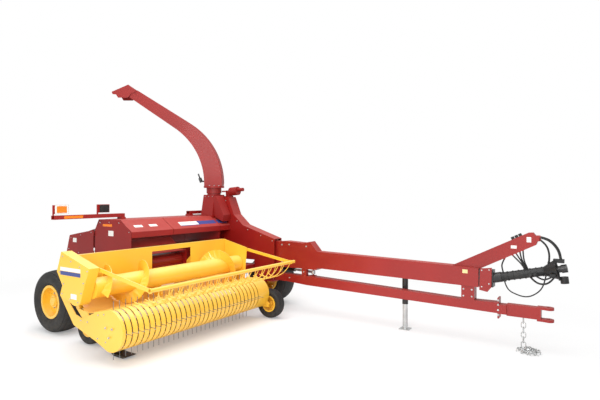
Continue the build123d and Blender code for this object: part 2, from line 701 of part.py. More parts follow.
last_slot_x = FIRST_SLOT_X + (SLOT_COUNT - 1) * SLOT_STEP
with BuildPart() as pickup_bands:
    block(header_inner_x, (LOW_TAIL[0], 40.0), (272.0, 312.0))
    with Locations(*[(FIRST_SLOT_X + k * SLOT_STEP + SLOT_GAP / 2, 0, 0) for k in range(SLOT_COUNT - 1)]):
        add(band(SLOT_STEP - SLOT_GAP))
    for low, high in (
        (header_inner_x[0], FIRST_SLOT_X - SLOT_GAP / 2),
        (last_slot_x + SLOT_GAP / 2, header_inner_x[1]),
    ):
        with Locations((low, 0, 0)):
            add(band(high - low))
keep(pickup_bands, "pickup_bands")

back_y = (AUGER_Y + TROUGH_R, AUGER_Y + TROUGH_R + TROUGH_SHEET)
header_x = (DRIVE_BOX_X[1], header_inner_x[1])
with BuildPart() as header_frame:
    # the trough under the auger, cut short at the drive box
    with BuildSketch(side(header_inner_x[0])) as trough:
        with BuildLine():
            arcs = []
            for r in (TROUGH_R, TROUGH_R + TROUGH_SHEET):
                turns = (radians(LIP_ANGLE), (radians(LIP_ANGLE) + 2 * pi) / 2, 2 * pi)
                arcs.append([(AUGER_Y + r * cos(t), AUGER_Z + r * sin(t)) for t in turns])
            ThreePointArc(*arcs[0])
            ThreePointArc(*arcs[1])
            Line(arcs[0][0], arcs[1][0])
            Line(arcs[0][2], arcs[1][2])
        make_face()
    extrude(trough.sketch, amount=header_inner_x[1] - header_inner_x[0])
    block((header_inner_x[0] - 1, DRIVE_BOX_X[1]), (150, 320), (530, 760), CUT)
    # back sheet, top rail and the tube behind the trough
    block(header_x, back_y, (AUGER_Z, RAIL_TOP_Z - RAIL_SIZE + 2))
    rail_y = (back_y[0], back_y[0] + RAIL_SIZE)
    add(box_tube(header_x, rail_y, (RAIL_TOP_Z - RAIL_SIZE, RAIL_TOP_Z), 5.0, "x"))
    block(header_inner_x, (-60.0, -46.0), (508.0, 522.0))
    block(header_inner_x, (226.0, 286.0), (516.0, 576.0))
    block((header_inner_x[0] + 5, header_inner_x[1] - 5), (231.0, 281.0), (521.0, 571.0), CUT)
    for x in (header_inner_x[0], -1300.0, -700.0, -100.0, header_inner_x[1] - 8):
        plate([(0, 312), (38, 312), (286, 520), (226, 520), (60, 494)], (x, x + 8))
    block(OPENING_X, (200.0, 297.0 + TROUGH_SHEET), OPENING_Z, CUT)
    # lugs on the feed housing's pins
    for x in ((FEED_X[0] - 18, FEED_X[0] - 6), (FEED_X[1] + 6, FEED_X[1] + 18)):
        plate([(286, 530), (296, 560), (296, 900), (330, 900), (510, 735), (510, 665), (400, 530)], x)
        rod(*across(HEADER_PIVOT, x), 48.0)
        rod(*across(HEADER_PIVOT, (x[0] - 1, x[1] + 1)), HEADER_PIN_R + RUNNING_GAP, CUT)
    # arm of the right gauge wheel
    arm_x = (GAUGE_RIGHT[0] + GAUGE_TYRE_W / 2 + 12, GAUGE_RIGHT[0] + GAUGE_TYRE_W / 2 + 32)
    plate(
        [(240, 520), (286, 576), (330, 576), (580, 260), (580, 165), (490, 165), (470, 260), (300, 500)],
        arm_x,
    )
    spindle("gauge", GAUGE_RIGHT, -1, arm_x[0], 22.0)
keep(header_frame, "header_frame")

# the drive box outboard of the right end sheet
with BuildPart() as drive_box:
    plate(
        [
            (409, 1133), (495, 913), (388, 770), (431, 661), (241, 609), (190, 582), (139, 575),
            (90, 585), (49, 616), (20, 681), (-29, 805), (-115, 987),
        ],
        DRIVE_BOX_X,
    )
    plate(
        [
            (405, 1128), (490, 914), (383, 772), (426, 664), (240, 613), (189, 586), (139, 579),
            (92, 589), (53, 618), (24, 683), (-25, 806), (-109, 985),
        ],
        (DRIVE_BOX_X[0] + 4, DRIVE_BOX_X[1] - 4),
        CUT,
    )

with BuildPart() as header_end_right:
    end_x = (HEADER_RIGHT_X, HEADER_RIGHT_X + HEADER_SHEET)
    plate(
        [
            (-327, 573), (-281.6, 568), (-100, 528), (158, 421), (282, 447), (395, 551), (330, 700),
            (420, 700), (591, 627), (321, 328), (-84, 220), (-225, 173), (-327, 147),
        ],
        end_x,
    )
    rod(*across(drum_axis, end_x), DRUM_R)
    add(drive_box.part)
    boss_x = (DRIVE_BOX_X[1] - 16, DRIVE_BOX_X[1])
    rod(*across(auger_axis, boss_x), 55.0)
    rod(*across(auger_axis, (boss_x[0] - 1, boss_x[1] + 1)), AUGER_JOURNAL_R + RUNNING_GAP, CUT)
    boss_x = (header_inner_x[0], header_inner_x[0] + 14)
    rod(*across(drum_axis, boss_x), 45.0)
    rod(*across(drum_axis, (boss_x[0], boss_x[1] + 1)), REEL_JOURNAL_R + RUNNING_GAP, CUT)
    rod(*across(GUARD_PIVOT, (DRIVE_BOX_X[1], DRIVE_BOX_X[1] + 22)), GUARD_PIVOT_R)
keep(header_end_right, "header_end_right")

with BuildPart() as header_end_left:
    end_x = (HEADER_LEFT_X - HEADER_SHEET, HEADER_LEFT_X)
    plate(
        [
            (-327, 573), (-281.6, 568), (-95, 540), (-135, 985), (320, 1092), (360, 1000),
            (340, 480), (246, 336), (-10, 290), (-225, 173), (-327, 147),
        ],
        end_x,
    )
    rod(*across(drum_axis, end_x), DRUM_R)
    rod(*across(auger_axis, (end_x[0] - 1, end_x[1] + 1)), AUGER_JOURNAL_R + RUNNING_GAP, CUT)
    rod(*across(drum_axis, (end_x[0] - 14, end_x[0])), 45.0)
    rod(*across(drum_axis, (end_x[0] - 15, end_x[0])), REEL_JOURNAL_R + RUNNING_GAP, CUT)
    rod(*across(GUARD_PIVOT, (HEADER_LEFT_X, HEADER_LEFT_X + 22)), GUARD_PIVOT_R)
    # arm of the left gauge wheel
    plate(
        [(-327, 330), (-230, 330), (-440, 165), (-530, 165), (-540, 215), (-500, 260)],
        (HEADER_LEFT_X, HEADER_LEFT_X + 8),
    )
    spindle("gauge", GAUGE_LEFT, 1, HEADER_LEFT_X + 4, 22.0)
keep(header_end_left, "header_end_left")

with BuildPart() as pickup_skid:
    plate(
        [
            (-290, 30), (-250, 8), (-80, 8), (-30, 40), (40, 262), (40, 272), (4, 272), (-60, 52),
            (-90, 30),
        ],
        (-1640.0, -1500.0),
    )
keep(pickup_skid, "pickup_skid")

# ----------------------------------------------------------------------- auger
with BuildPart() as auger_tube:
    auger_x = (DRIVE_BOX_X[1] + MOVING_GAP, header_inner_x[1] - MOVING_GAP)
    ring(*across(auger_axis, auger_x), AUGER_TUBE_R, AUGER_TUBE_R - 8)
    for x in (auger_x[0], auger_x[1] - 12.0):
        rod(*across(auger_axis, (x, x + 12.0)), AUGER_TUBE_R - 4)
    rod(*across(auger_axis, (DRIVE_BOX_X[1] - 14, auger_x[0] + 4)), AUGER_JOURNAL_R)
    rod(*across(auger_axis, (auger_x[1] - 4, HEADER_LEFT_X - 1)), AUGER_JOURNAL_R)
keep(auger_tube, "auger_tube")


def flight(start_x, end_x, phase):
    """A helical sheet round the auger tube as flat triangles."""
    inner_r = AUGER_TUBE_R / cos(radians(FLIGHT_STEP / 2)) + 0.1
    steps = round(abs(end_x - start_x) / FLIGHT_PITCH * 360 / FLIGHT_STEP)
    rows = []
    for k in range(steps + 1):
        angle = radians(phase - k * FLIGHT_STEP)
        x = start_x + (end_x - start_x) * k / steps
        for dx in (0.0, FLIGHT_SHEET):
            for r in (inner_r, FLIGHT_R):
                rows.append(Vector(x + dx, AUGER_Y + r * cos(angle), AUGER_Z + r * sin(angle)))
    rows = [rows[4 * k : 4 * k + 4] for k in range(steps + 1)]
    triangles = []
    for p, q in zip(rows, rows[1:]):
        for i, j in ((0, 1), (1, 3), (3, 2), (2, 0)):
            triangles += [(p[i], p[j], q[j]), (p[i], q[j], q[i])]
    for row in (rows[0], rows[-1]):
        triangles += [(row[0], row[1], row[3]), (row[0], row[3], row[2])]
    solid = Solid(Shell([Face(Wire.make_polygon(corners, close=True)) for corners in triangles]))
    return solid if solid.volume > 0 else solid.fix()


# name: start in X, end in X, turn at the start
FLIGHTS = {"right": (-1770.0, -900.0, 200.0), "left": (470.0, -120.0, 20.0)}
for name, (start_x, end_x, phase) in FLIGHTS.items():
    with BuildPart() as auger_flight:
        add(flight(start_x, end_x, phase), clean=False)
    keep(auger_flight, f"auger_flight_{name}")

# ------------------------------------------------------------------------ reel
with BuildPart() as pickup_reel:
    reel_x = (header_inner_x[0] + 20.0, header_inner_x[1] - 20.0)
    bar_x = (FIRST_SLOT_X - 6.0, last_slot_x + 6.0)
    slots_x = [FIRST_SLOT_X + k * SLOT_STEP for k in range(SLOT_COUNT)]
    spokes_x = (bar_x[0] + 30.0, bar_x[0] + 730.0, bar_x[1] - 730.0, bar_x[1] - 30.0)
    rod(*across(drum_axis, reel_x), REEL_SHAFT_R)
    rod(*across(drum_axis, (header_inner_x[0] + 1, header_inner_x[1] - 1)), REEL_JOURNAL_R)
    with BuildSketch(side(bar_x[0])) as tine_bars:
        with Locations(drum_axis):
            with PolarLocations(TINE_BAR_CIRCLE_R, TINE_BAR_COUNT):
                Circle(TINE_BAR_R)
    extrude(tine_bars.sketch, amount=bar_x[1] - bar_x[0])
    for k in range(TINE_BAR_COUNT):
        turn = 2 * pi * k / TINE_BAR_COUNT
        out = Plane(origin=(0, *drum_axis), x_dir=(1, 0, 0), z_dir=(0, cos(turn), sin(turn)))
        with BuildSketch(out) as spokes:
            with Locations(*[(x, 0) for x in spokes_x]):
                Circle(10.0)
        extrude(spokes.sketch, amount=TINE_BAR_CIRCLE_R)
        with BuildSketch(out.offset(TINE_BAR_CIRCLE_R)) as tines:
            with Locations(*[(x, 0) for x in slots_x]):
                Circle(TINE_WIRE_R)
        extrude(tines.sketch, amount=TINE_TIP_R - TINE_BAR_CIRCLE_R)
keep(pickup_reel, "pickup_reel")

# ------------------------------------------------------------------- windguard
guard_x = (DRIVE_BOX_X[1] + MOVING_GAP, GUARD_PIPE_LEFT_X)
arm_dy, arm_dz = GUARD_PIPE[0] - GUARD_PIVOT[0], GUARD_PIPE[1] - GUARD_PIVOT[1]
reach = hypot(arm_dy, arm_dz)
half_y, half_z = -arm_dz / reach * 20.0, arm_dy / reach * 20.0
GUARD_ARMS_X = (guard_x[0], HEADER_LEFT_X + MOVING_GAP)

# each bent rod in its own upright plane: u along its run, from the pipe's axis
slant = radians(GUARD_ROD_SLANT)
run = (GUARD_ROD_END[0] - GUARD_PIPE[0]) / cos(slant)
drop = GUARD_ROD_END[1] - GUARD_PIPE[1]
chord = hypot(run, drop)
lift = (GUARD_ROD_BEND_R**2 - (chord / 2) ** 2) ** 0.5
bend_u = run / 2 - drop / chord * lift
bend_z = drop / 2 + run / chord * lift
rod_start = degrees(atan2(-bend_z, -bend_u)) + degrees((GUARD_PIPE_R - 1.5) / GUARD_ROD_BEND_R)
rod_turn = (degrees(atan2(drop - bend_z, run - bend_u)) - rod_start) % 360
rod_shift = abs(run * sin(slant)) / 2
rod_span = guard_x[1] - guard_x[0] - 2 * rod_shift - 90.0


def guard_rod(way):
    """A bent rod that starts at the pipe at X = 0. way is +1 or -1, for its slant in X."""
    along = Vector(way * sin(slant), cos(slant), 0)
    plane = Plane(origin=(0, *GUARD_PIPE), x_dir=along, z_dir=along.cross(Vector(0, 0, 1)))
    # the two slants lie in two layers, so that rods cross without touching
    layer = GUARD_ROD_BEND_R if way > 0 else GUARD_ROD_BEND_R + 2 * GUARD_ROD_R + 0.3
    centre = plane.from_local_coords((bend_u, bend_z))
    turn = radians(rod_start)
    begin = plane.from_local_coords((bend_u + layer * cos(turn), bend_z + layer * sin(turn)))
    outward = (begin - centre).normalized()
    with BuildPart() as bent:
        with BuildSketch(Plane(origin=begin, x_dir=outward, z_dir=plane.z_dir.cross(outward))) as wire:
            Circle(GUARD_ROD_R)
        revolve(wire.sketch, axis=Axis(centre, plane.z_dir), revolution_arc=rod_turn)
    return bent.part


def guard_arm(x):
    """The plate that carries the pipe from its pivot, from its (low, high) in X."""
    with BuildPart() as arm:
        plate(
            [
                (GUARD_PIVOT[0] + half_y, GUARD_PIVOT[1] + half_z),
                (GUARD_PIPE[0] + half_y, GUARD_PIPE[1] + half_z),
                (GUARD_PIPE[0] - half_y, GUARD_PIPE[1] - half_z),
                (GUARD_PIVOT[0] - half_y, GUARD_PIVOT[1] - half_z),
            ],
            x,
        )
        rod(*across(GUARD_PIVOT, x), 20.0)
        rod(*across(GUARD_PIPE, x), 28.0)
        rod(*across(GUARD_PIPE, (x[0] - 1, x[1] + 1)), GUARD_PIPE_R - 3, CUT)
        rod(*across(GUARD_PIVOT, (x[0] - 1, x[1] + 1)), GUARD_PIVOT_R + RUNNING_GAP, CUT)
    return arm.part


with BuildPart() as windguard:
    ring(*across(GUARD_PIPE, guard_x), GUARD_PIPE_R, GUARD_PIPE_R - 3)
    for start_x in GUARD_ARMS_X:
        add(guard_arm((start_x, start_x + 12.0)))
    for way in (1, -1):
        starts = []
        for k in range(GUARD_ROD_COUNT):
            middle = guard_x[0] + 45.0 + rod_shift + rod_span * (k + 0.5) / GUARD_ROD_COUNT
            starts.append((middle - way * rod_shift, 0, 0))
        with Locations(*starts):
            add(guard_rod(way), clean=False)
keep(windguard, "windguard")

# ----------------------------------------------------------------------- spout
heading = radians(SPOUT_HEADING)
spout_plane = Plane(
    origin=(*SPOUT_AXIS, 0),
    x_dir=(-sin(heading), cos(heading), 0),
    z_dir=(cos(heading), sin(heading), 0),
)


def on_spout(u, z, across_it=0.0):
    """A point of the spout's own upright plane: u is out along its run."""
    return tuple(spout_plane.from_local_coords((u, z, across_it)))


def edge_points(edge, inset, extra=0.0):
    """Start, middle and end of an edge's bend, then the end of its straight run."""
    base_u, bend_r, turn, run_length = edge
    centre_u = base_u + bend_r
    r = bend_r - inset
    at = []
    for t in (0.0, radians(turn / 2), radians(turn)):
        at.append((centre_u - r * cos(t), SPOUT_BEND_Z + r * sin(t)))
    length = run_length + extra
    at.append((at[2][0] + length * sin(radians(turn)), at[2][1] + length * cos(radians(turn))))
    return at


def spout_duct(inset, extra, foot_z, width, mode=Mode.ADD):
    """The duct from its side view, made smaller by the wall for its inside."""
    outer = edge_points(OUTER_EDGE, inset, extra)
    inner = edge_points(INNER_EDGE, -inset, extra)
    with BuildSketch(spout_plane) as face:
        with BuildLine():
            Line((outer[0][0], foot_z), outer[0])
            ThreePointArc(*outer[:3])
            Polyline(outer[2], outer[3], inner[3], inner[2])
            ThreePointArc(inner[2], inner[1], inner[0])
            Polyline(inner[0], (inner[0][0], foot_z), (outer[0][0], foot_z))
        make_face()
    extrude(face.sketch, amount=width / 2, both=True, mode=mode)


inside_w = SPOUT_W - 2 * SPOUT_WALL
inner_turn = radians(INNER_EDGE[2])
along = (sin(inner_turn), cos(inner_turn))
inward = (-cos(inner_turn), sin(inner_turn))
run_start, run_end = edge_points(INNER_EDGE, 0, 40.0)[2:]


def on_run(start, length, depth):
    """A (u, z) point along the inner edge's straight run, and in from it."""
    return (
        start[0] + length * along[0] + depth * inward[0],
        start[1] + length * along[1] + depth * inward[1],
    )


with BuildPart() as spout:
    spout_duct(0, 0, SPOUT_RING_Z[1] - 0.5, SPOUT_W)
    rod(*upright(SPOUT_AXIS, SPOUT_RING_Z), SPOUT_RING_R)
    rod(*upright(SPOUT_AXIS, COLLAR_Z), COLLAR_R)
    rod(*upright(SPOUT_AXIS, (COLLAR_Z[0] - 1, SPOUT_RING_Z[1])), NECK_R + RUNNING_GAP, CUT)
    spout_duct(SPOUT_WALL, 20, SPOUT_RING_Z[1] - 0.5, inside_w, CUT)
    # the long slot under the far end of the straight run
    mouth = [on_run(run_start, 30, -10), on_run(run_start, 30, 30)]
    mouth += [on_run(run_end, 0, 30), on_run(run_end, 0, -10)]
    prism(spout_plane, mouth, inside_w / 2, CUT, both=True)
    for end in (-1, 1):
        rod(
            on_spout(*FLAP_PIVOT, end * (SPOUT_W / 2 - 1)),
            on_spout(*FLAP_PIVOT, end * (SPOUT_W / 2 + 18)),
            FLAP_PIN_R,
        )
keep(spout, "spout")

# the hood at the end of the spout that turns the crop down
with BuildPart() as deflector:
    flap_half = SPOUT_W / 2 + MOVING_GAP + SHEET
    cheek = [
        (1300, 3482), (1363, 3533), (1629, 3417), (1614, 3379), (1558, 3373), (1527, 3322),
        (1370, 3322), (1300, 3400), (1250, 3408), (1232, 3416), (1228, 3438), (1240, 3452),
        (1270, 3456),
    ]
    prism(spout_plane, cheek, flap_half, both=True)
    inside = [(1200, 3500), (1298, 3476), (1361, 3527), (1640, 3408), (1640, 3290), (1200, 3290)]
    prism(spout_plane, inside, flap_half - SHEET, CUT, both=True)
    rod(
        on_spout(*FLAP_PIVOT, -flap_half - 1),
        on_spout(*FLAP_PIVOT, flap_half + 1),
        FLAP_PIN_R + RUNNING_GAP,
        CUT,
    )
keep(deflector, "deflector")

# electric actuator of the deflector, on the inner side of the spout's bend
with BuildPart() as deflector_actuator:
    rod(on_spout(205, 1960), on_spout(232, 2030), 26.0)
    rod(on_spout(230, 2025), on_spout(258, 2098), 11.0)
    rod(on_spout(INNER_EDGE[0] + 2.2, 1975), on_spout(214, 1975), 12.0)
keep(deflector_actuator, "deflector_actuator")

# ---------------------------------------------------------------------- tongue
beam_x = (TONGUE_X - BEAM_HALF, TONGUE_X + BEAM_HALF)
rail_x = (TONGUE_X - RAIL_HALF, TONGUE_X + RAIL_HALF)
nose_x = (TONGUE_X - NOSE_HALF, TONGUE_X + NOSE_HALF)
pivot = (TONGUE_X, TONGUE_PIVOT_Y)
NOSE_Z = (FORK_Z[0] + FORK_PLATE + 6.0, FORK_Z[1] - 6.0)

with BuildPart() as tongue_beam:
    block(nose_x, (NOSE_FRONT_Y, TONGUE_PIVOT_Y), NOSE_Z)
    rod(*upright(pivot, NOSE_Z), BEAM_HALF)
    rod(*upright(pivot, (NOSE_Z[0] - 1, NOSE_Z[1] + 1)), TONGUE_PIN_R + RUNNING_GAP, CUT)
    beam_line = [
        (NOSE_FRONT_Y, 683), (NOSE_FRONT_Y, 1054), (-530, 1067), (-841, 1053), (-961, 1080),
        (-1079, 946), (-2950, 907), (-3282, 895), (-3282, 678), (-1082, 712), (-1070, 683),
    ]
    add(box_section(beam_line, beam_x, TONGUE_WALL))
keep(tongue_beam, "tongue_beam")

rod_eye = Vector(*SWING_ROD_PIN, SWING_Z)
with BuildPart() as lower_rail:
    rail_line = [
        (NOSE_FRONT_Y, 474), (NOSE_FRONT_Y, 582), (-1039, 580), (-3056, 516), (-3487, 524),
        (-3487, 403), (-887, 451), (-560, 474),
    ]
    add(box_section(rail_line, rail_x, TONGUE_WALL))
    plate([(-816, 578), (-816, 683), (-892, 683), (-892, 578)], (rail_x[0], TONGUE_X))
    plate([(-3084, 514), (-3084, 680.9), (-3232, 678.6), (-3232, 514)], rail_x)
    # plate and pin for the eye of the swing cylinder's rod
    block((SWING_ROD_PIN[0] - 40, TONGUE_X + 58), (-1000.0, -920.0), (577.0, 590.0))
    rod(*upright(SWING_ROD_PIN, (SWING_Z - 46, SWING_Z + 42)), SWING_PIN_R)
keep(lower_rail, "lower_rail")

with BuildPart() as hitch_clevis:
    block(rail_x, (-3503.0, -3487.0), (344.0, 577.0))
    block(rail_x, (-3581.0, -3503.0), (398.0, 503.0))
    block((TONGUE_X - 45, TONGUE_X + 45), (-3930.0, -3581.0), (385.0, 516.0))
    block((TONGUE_X - 39, TONGUE_X + 39), (-3900.0, -3575.0), (391.0, 510.0), CUT)
    hitch_pin = (TONGUE_X, HITCH_PIN_Y)
    for z in HITCH_EAR_Z:
        ear = (z - HITCH_EAR / 2, z + HITCH_EAR / 2)
        block((TONGUE_X - 45, TONGUE_X + 45), (HITCH_PIN_Y, -3890.0), ear)
        rod(*upright(hitch_pin, ear), HITCH_PIN_Y - HITCH_END_Y)
        rod(*upright(hitch_pin, (ear[0] - 6, ear[1] + 6)), HITCH_PIN_R, CUT)
keep(hitch_clevis, "hitch_clevis")

# each hose: radius, what holds its start, what holds its end, the points that it passes
HOSES = {
    "hose_bundle": {
        "bundle right": (11.0, "arm", "guard", [
            (987, -3923, 1283), (987, -3981, 1270), (987, -4036, 1232), (987, -4079, 1178),
            (987, -4106, 1122), (987, -4116, 1064),
        ]),
        "bundle middle": (11.0, "arm", "guard", [
            (1010, -3923, 1287), (1010, -3983, 1274), (1010, -4040, 1236), (1010, -4084, 1182),
            (1010, -4110, 1124), (1010, -4118, 1064),
        ]),
        "bundle left": (11.0, "arm", "guard", [
            (1033, -3923, 1283), (1033, -3981, 1270), (1033, -4036, 1232), (1033, -4079, 1178),
            (1033, -4106, 1122), (1033, -4116, 1064),
        ]),
        "long hose": (10.0, "arm", "guard", [
            (1010, -3923, 1252), (1010, -3961, 1220), (1010, -3990, 1174), (1010, -4004, 1122),
            (1010, -4008, 1072), (1010, -4004, 1024),
        ]),
    },
    "hose_drops": {
        "drop 1": (8.0, "arm", "guard", [
            (983, -3648, 1066), (983, -3698, 1016), (983, -3742, 970), (984, -3764, 928),
        ]),
        "drop 2": (8.0, "arm", "guard", [
            (1001, -3681, 1083), (1001, -3714, 1032), (1001, -3748, 978), (1002, -3768, 928),
        ]),
        "drop 3": (8.0, "arm", "guard", [
            (1019, -3714, 1101), (1019, -3724, 1043), (1019, -3750, 984), (1020, -3776, 928),
        ]),
        "drop 4": (8.0, "arm", "guard", [
            (1037, -3742, 1117), (1037, -3745, 1058), (1037, -3758, 990), (1037, -3788, 928),
        ]),
        "gearbox hose": (8.0, "arm", "guard", [
            (1000, -3550, 1016), (1000, -3528, 970), (1000, -3525, 922), (1000, -3540, 872),
        ]),
    },
    "hose_loops": {
        "near loop": (10.0, "guard", "guard", [
            (952, -3826, 850), (949, -3872, 798), (944, -3945, 776), (930, -4020, 804),
            (915, -4062, 868),
        ]),
        "short loop": (9.0, "guard", "guard", [
            (928, -3880, 872), (928, -3930, 838), (930, -3987, 834), (934, -4036, 868),
        ]),
        "thin loop": (7.0, "guard", "guard", [
            (985, -3560, 762), (984, -3578, 706), (982, -3617, 661), (980, -3675, 638),
            (979, -3735, 620), (978, -3799, 620), (977, -3863, 650), (976, -3925, 706),
            (975, -3960, 778), (975, -3977, 862),
        ]),
    },
}
FERRULE_WALL = 1.0
FERRULE_LENGTH = 22.0


def ferrules(holder):
    """The crimped ends of the hoses that start or finish on a piece."""
    for hoses in HOSES.values():
        for radius, at_start, at_end, points in hoses.values():
            for held_by, tip, inner in ((at_start, points[0], points[1]), (at_end, *points[:-3:-1])):
                if held_by == holder:
                    outward = (Vector(*tip) - Vector(*inner)).normalized()
                    rod(tip, tuple(Vector(*tip) + outward * FERRULE_LENGTH), radius + FERRULE_WALL)


# the arm that carries the hoses to the tractor
HOSE_CLAMP_Y = (-3915.0, -3878.0)
HOSE_CLAMP_Z = (1242.0, 1302.0)
with BuildPart() as hose_arm:
    arm_line = [
        (-2974, 908), (-3222, 897.3), (-3300, 895), (-3880, 1200), (-3895, 1240), (-3885, 1290),
        (-3850, 1334), (-3800, 1330),
    ]
    add(box_section(arm_line, (TONGUE_X - 32.0, TONGUE_X + 32.0), 4.0))
    block((TONGUE_X - 44.0, TONGUE_X + 44.0), HOSE_CLAMP_Y, HOSE_CLAMP_Z)
    ferrules("arm")
keep(hose_arm, "hose_arm")

pto_start, pto_end = Vector(*PTO_START), Vector(*PTO_END)
pto_way = (pto_end - pto_start).normalized()


def on_pto(reach, start=pto_start):
    """A point on the driveline's axis."""
    return tuple(start + pto_way * reach)


with BuildPart() as front_gearbox:
    block((TONGUE_X - 60, TONGUE_X + 60), (-3440.0, -3282.0), (691.0, 885.0))
    rod(on_pto(-120), PTO_START, 58.0)
keep(front_gearbox, "front_gearbox")

with BuildPart() as gearbox_shield:
    plate(
        [(-3300, 899), (-3351, 905), (-3429, 916), (-3424, 691), (-3381, 635), (-3292, 650)],
        (TONGUE_X - 74.0, TONGUE_X - 60.0),
    )
keep(gearbox_shield, "gearbox_shield")

guard_length = (pto_end - pto_start).length - 60.0
# clips on the guard that the hoses end at: low and high in X, Y and Z
GUARD_CLIPS = {
    "drops": ((974.0, 1046.0), (-3800.0, -3755.0), (890.0, 920.0)),
    "long hose": ((996.0, 1024.0), (-4018.0, -3990.0), (985.0, 1018.0)),
    "near loop": ((938.0, 972.0), (-3842.0, -3812.0), (859.0, 890.0)),
    "short loop": ((918.0, 966.0), (-3893.0, -3867.0), (881.0, 900.0)),
    "bell": ((903.0, 948.0), (-4078.0, -4022.0), (876.0, 905.0)),
    "thin loop": ((964.0, 986.0), (-3989.0, -3967.0), (868.0, 890.0)),
    "couplers": ((974.0, 1046.0), (-4150.0, -4046.0), (1020.0, 1058.0)),
    "cap strap": ((990.0, 1030.0), (-4156.0, -4098.0), (830.0, 856.0)),
    "gearbox hose": ((988.0, 1012.0), (-3556.0, -3532.0), (850.0, 866.0)),
    "thin start": ((974.0, 996.0), (-3577.0, -3550.0), (768.0, 792.0)),
}
with BuildPart() as driveline_guard:
    for x, y, z in GUARD_CLIPS.values():
        block(x, y, z)
    ferrules("guard")
    # rubber cap that hangs in front of the bell
    rod((TONGUE_X, -4148.0, 872.0), (TONGUE_X, -4157.0, 801.0), 41.0)
    rod(PTO_START, on_pto(guard_length), PTO_GUARD_R)
    for inset, mode in ((0, Mode.ADD), (4, CUT)):
        with BuildSketch(Plane(origin=on_pto(guard_length - 40 - inset / 8), z_dir=pto_way)) as neck:
            Circle(PTO_GUARD_R - inset)
        with BuildSketch(Plane(origin=on_pto(guard_length + 90 + inset / 8), z_dir=pto_way)) as rim:
            Circle(PTO_BELL_R - inset)
        loft([neck.sketch.face(), rim.sketch.face()], mode=mode)
    rod(on_pto(-1), on_pto(guard_length + 1), PTO_GUARD_R - 4, CUT)
    for reach in (0.5, guard_length - 80.0):
        ring(on_pto(reach), on_pto(reach + 18), PTO_GUARD_R - 2, PTO_SHAFT_R + RUNNING_GAP)
keep(driveline_guard, "driveline_guard")

with BuildPart() as pto_shaft:
    rod(on_pto(0.2), on_pto(40, pto_end), PTO_SHAFT_R)
    rod(PTO_END, on_pto(70, pto_end), 36.0)
    rod(on_pto(70, pto_end), on_pto(PTO_YOKE_REACH, pto_end), PTO_YOKE_R)
    bore_start = PTO_YOKE_REACH - PTO_BORE_DEPTH
    rod(on_pto(bore_start, pto_end), on_pto(PTO_YOKE_REACH + 1, pto_end), PTO_BORE_R, CUT)
keep(pto_shaft, "pto_shaft")

jack_at = (JACK_X, JACK_Y)
with BuildPart() as jack_tube:
    ring(*upright(jack_at, JACK_TUBE_Z), JACK_TUBE_R, JACK_TUBE_R - JACK_TUBE_WALL)
    rod(*upright(jack_at, (JACK_TUBE_Z[1] - 8, JACK_TUBE_Z[1])), JACK_TUBE_R - 3)
    bracket_x = (rail_x[1], JACK_X - JACK_TUBE_R + 2)
    block(bracket_x, (JACK_Y - 40, JACK_Y + 40), (436.0, 530.0))
keep(jack_tube, "jack_tube")

with BuildPart() as jack_leg:
    rod(*upright(jack_at, (10.0, JACK_LEG_TOP_Z)), JACK_TUBE_R - JACK_TUBE_WALL - RUNNING_GAP)
    half = JACK_FOOT / 2
    block((JACK_X - half, JACK_X + half), (JACK_Y - half, JACK_Y + half), (0.0, 10.0))
keep(jack_leg, "jack_leg")

# ------------------------------------------------------------- swing cylinder
barrel_eye = Vector(*SWING_BARREL_PIN, SWING_Z)
swing_way = (rod_eye - barrel_eye).normalized()


def on_swing(reach, start=barrel_eye):
    """A point on the swing cylinder's axis."""
    return tuple(start + swing_way * reach)


BARREL_REACH = (40.0, 560.0)
PISTON_REACH = (340.0, 370.0)
with BuildPart() as swing_barrel:
    ring(on_swing(BARREL_REACH[0]), on_swing(BARREL_REACH[1]), SWING_BARREL_R, SWING_BARREL_R - 7)
    rod(on_swing(BARREL_REACH[0]), on_swing(BARREL_REACH[0] + 14), SWING_BARREL_R - 3)
    ring(
        on_swing(BARREL_REACH[1] - 40),
        on_swing(BARREL_REACH[1]),
        SWING_BARREL_R - 4,
        SWING_ROD_R + RUNNING_GAP,
    )
    rod(*upright(SWING_BARREL_PIN, (SWING_Z - 26, SWING_Z + 26)), 26.0)
    rod(on_swing(10), on_swing(BARREL_REACH[0] + 1), 24.0)
    rod(*upright(SWING_BARREL_PIN, (SWING_Z - 27, SWING_Z + 27)), SWING_PIN_R + RUNNING_GAP, CUT)
keep(swing_barrel, "swing_barrel")

with BuildPart() as swing_rod:
    rod(on_swing(PISTON_REACH[0]), on_swing(-20, rod_eye), SWING_ROD_R)
    rod(on_swing(PISTON_REACH[0]), on_swing(PISTON_REACH[1]), SWING_BARREL_R - 7 - 0.1)
    rod(*upright(SWING_ROD_PIN, (SWING_Z - 24, SWING_Z + 24)), 28.0)
    rod(*upright(SWING_ROD_PIN, (SWING_Z - 25, SWING_Z + 25)), SWING_PIN_R + 6.0, CUT)
keep(swing_rod, "swing_rod")

# ---------------------------------------------------------------- safety chain
CHAIN_AT = (TONGUE_X - 20.0, -3745.0)
PILE_AT = (TONGUE_X - 40.0, -3800.0)
with BuildPart() as safety_chain:
    rod(*upright(CHAIN_AT, (40.0, 385.0)), 14.0)
    with BuildSketch(Plane((*PILE_AT, 1.0))) as pile_foot:
        Ellipse(95, 130)
    with BuildSketch(Plane((*PILE_AT, 46.0))) as pile_top:
        Ellipse(45, 65)
    loft([pile_foot.sketch.face(), pile_top.sketch.face()])
keep(safety_chain, "safety_chain")

# ----------------------------------------------------------------------- hoses
for label, hoses in HOSES.items():
    with BuildPart() as hose_set:
        for name, (radius, _, _, points) in hoses.items():
            hose(name, points, radius)
    keep(hose_set, label)

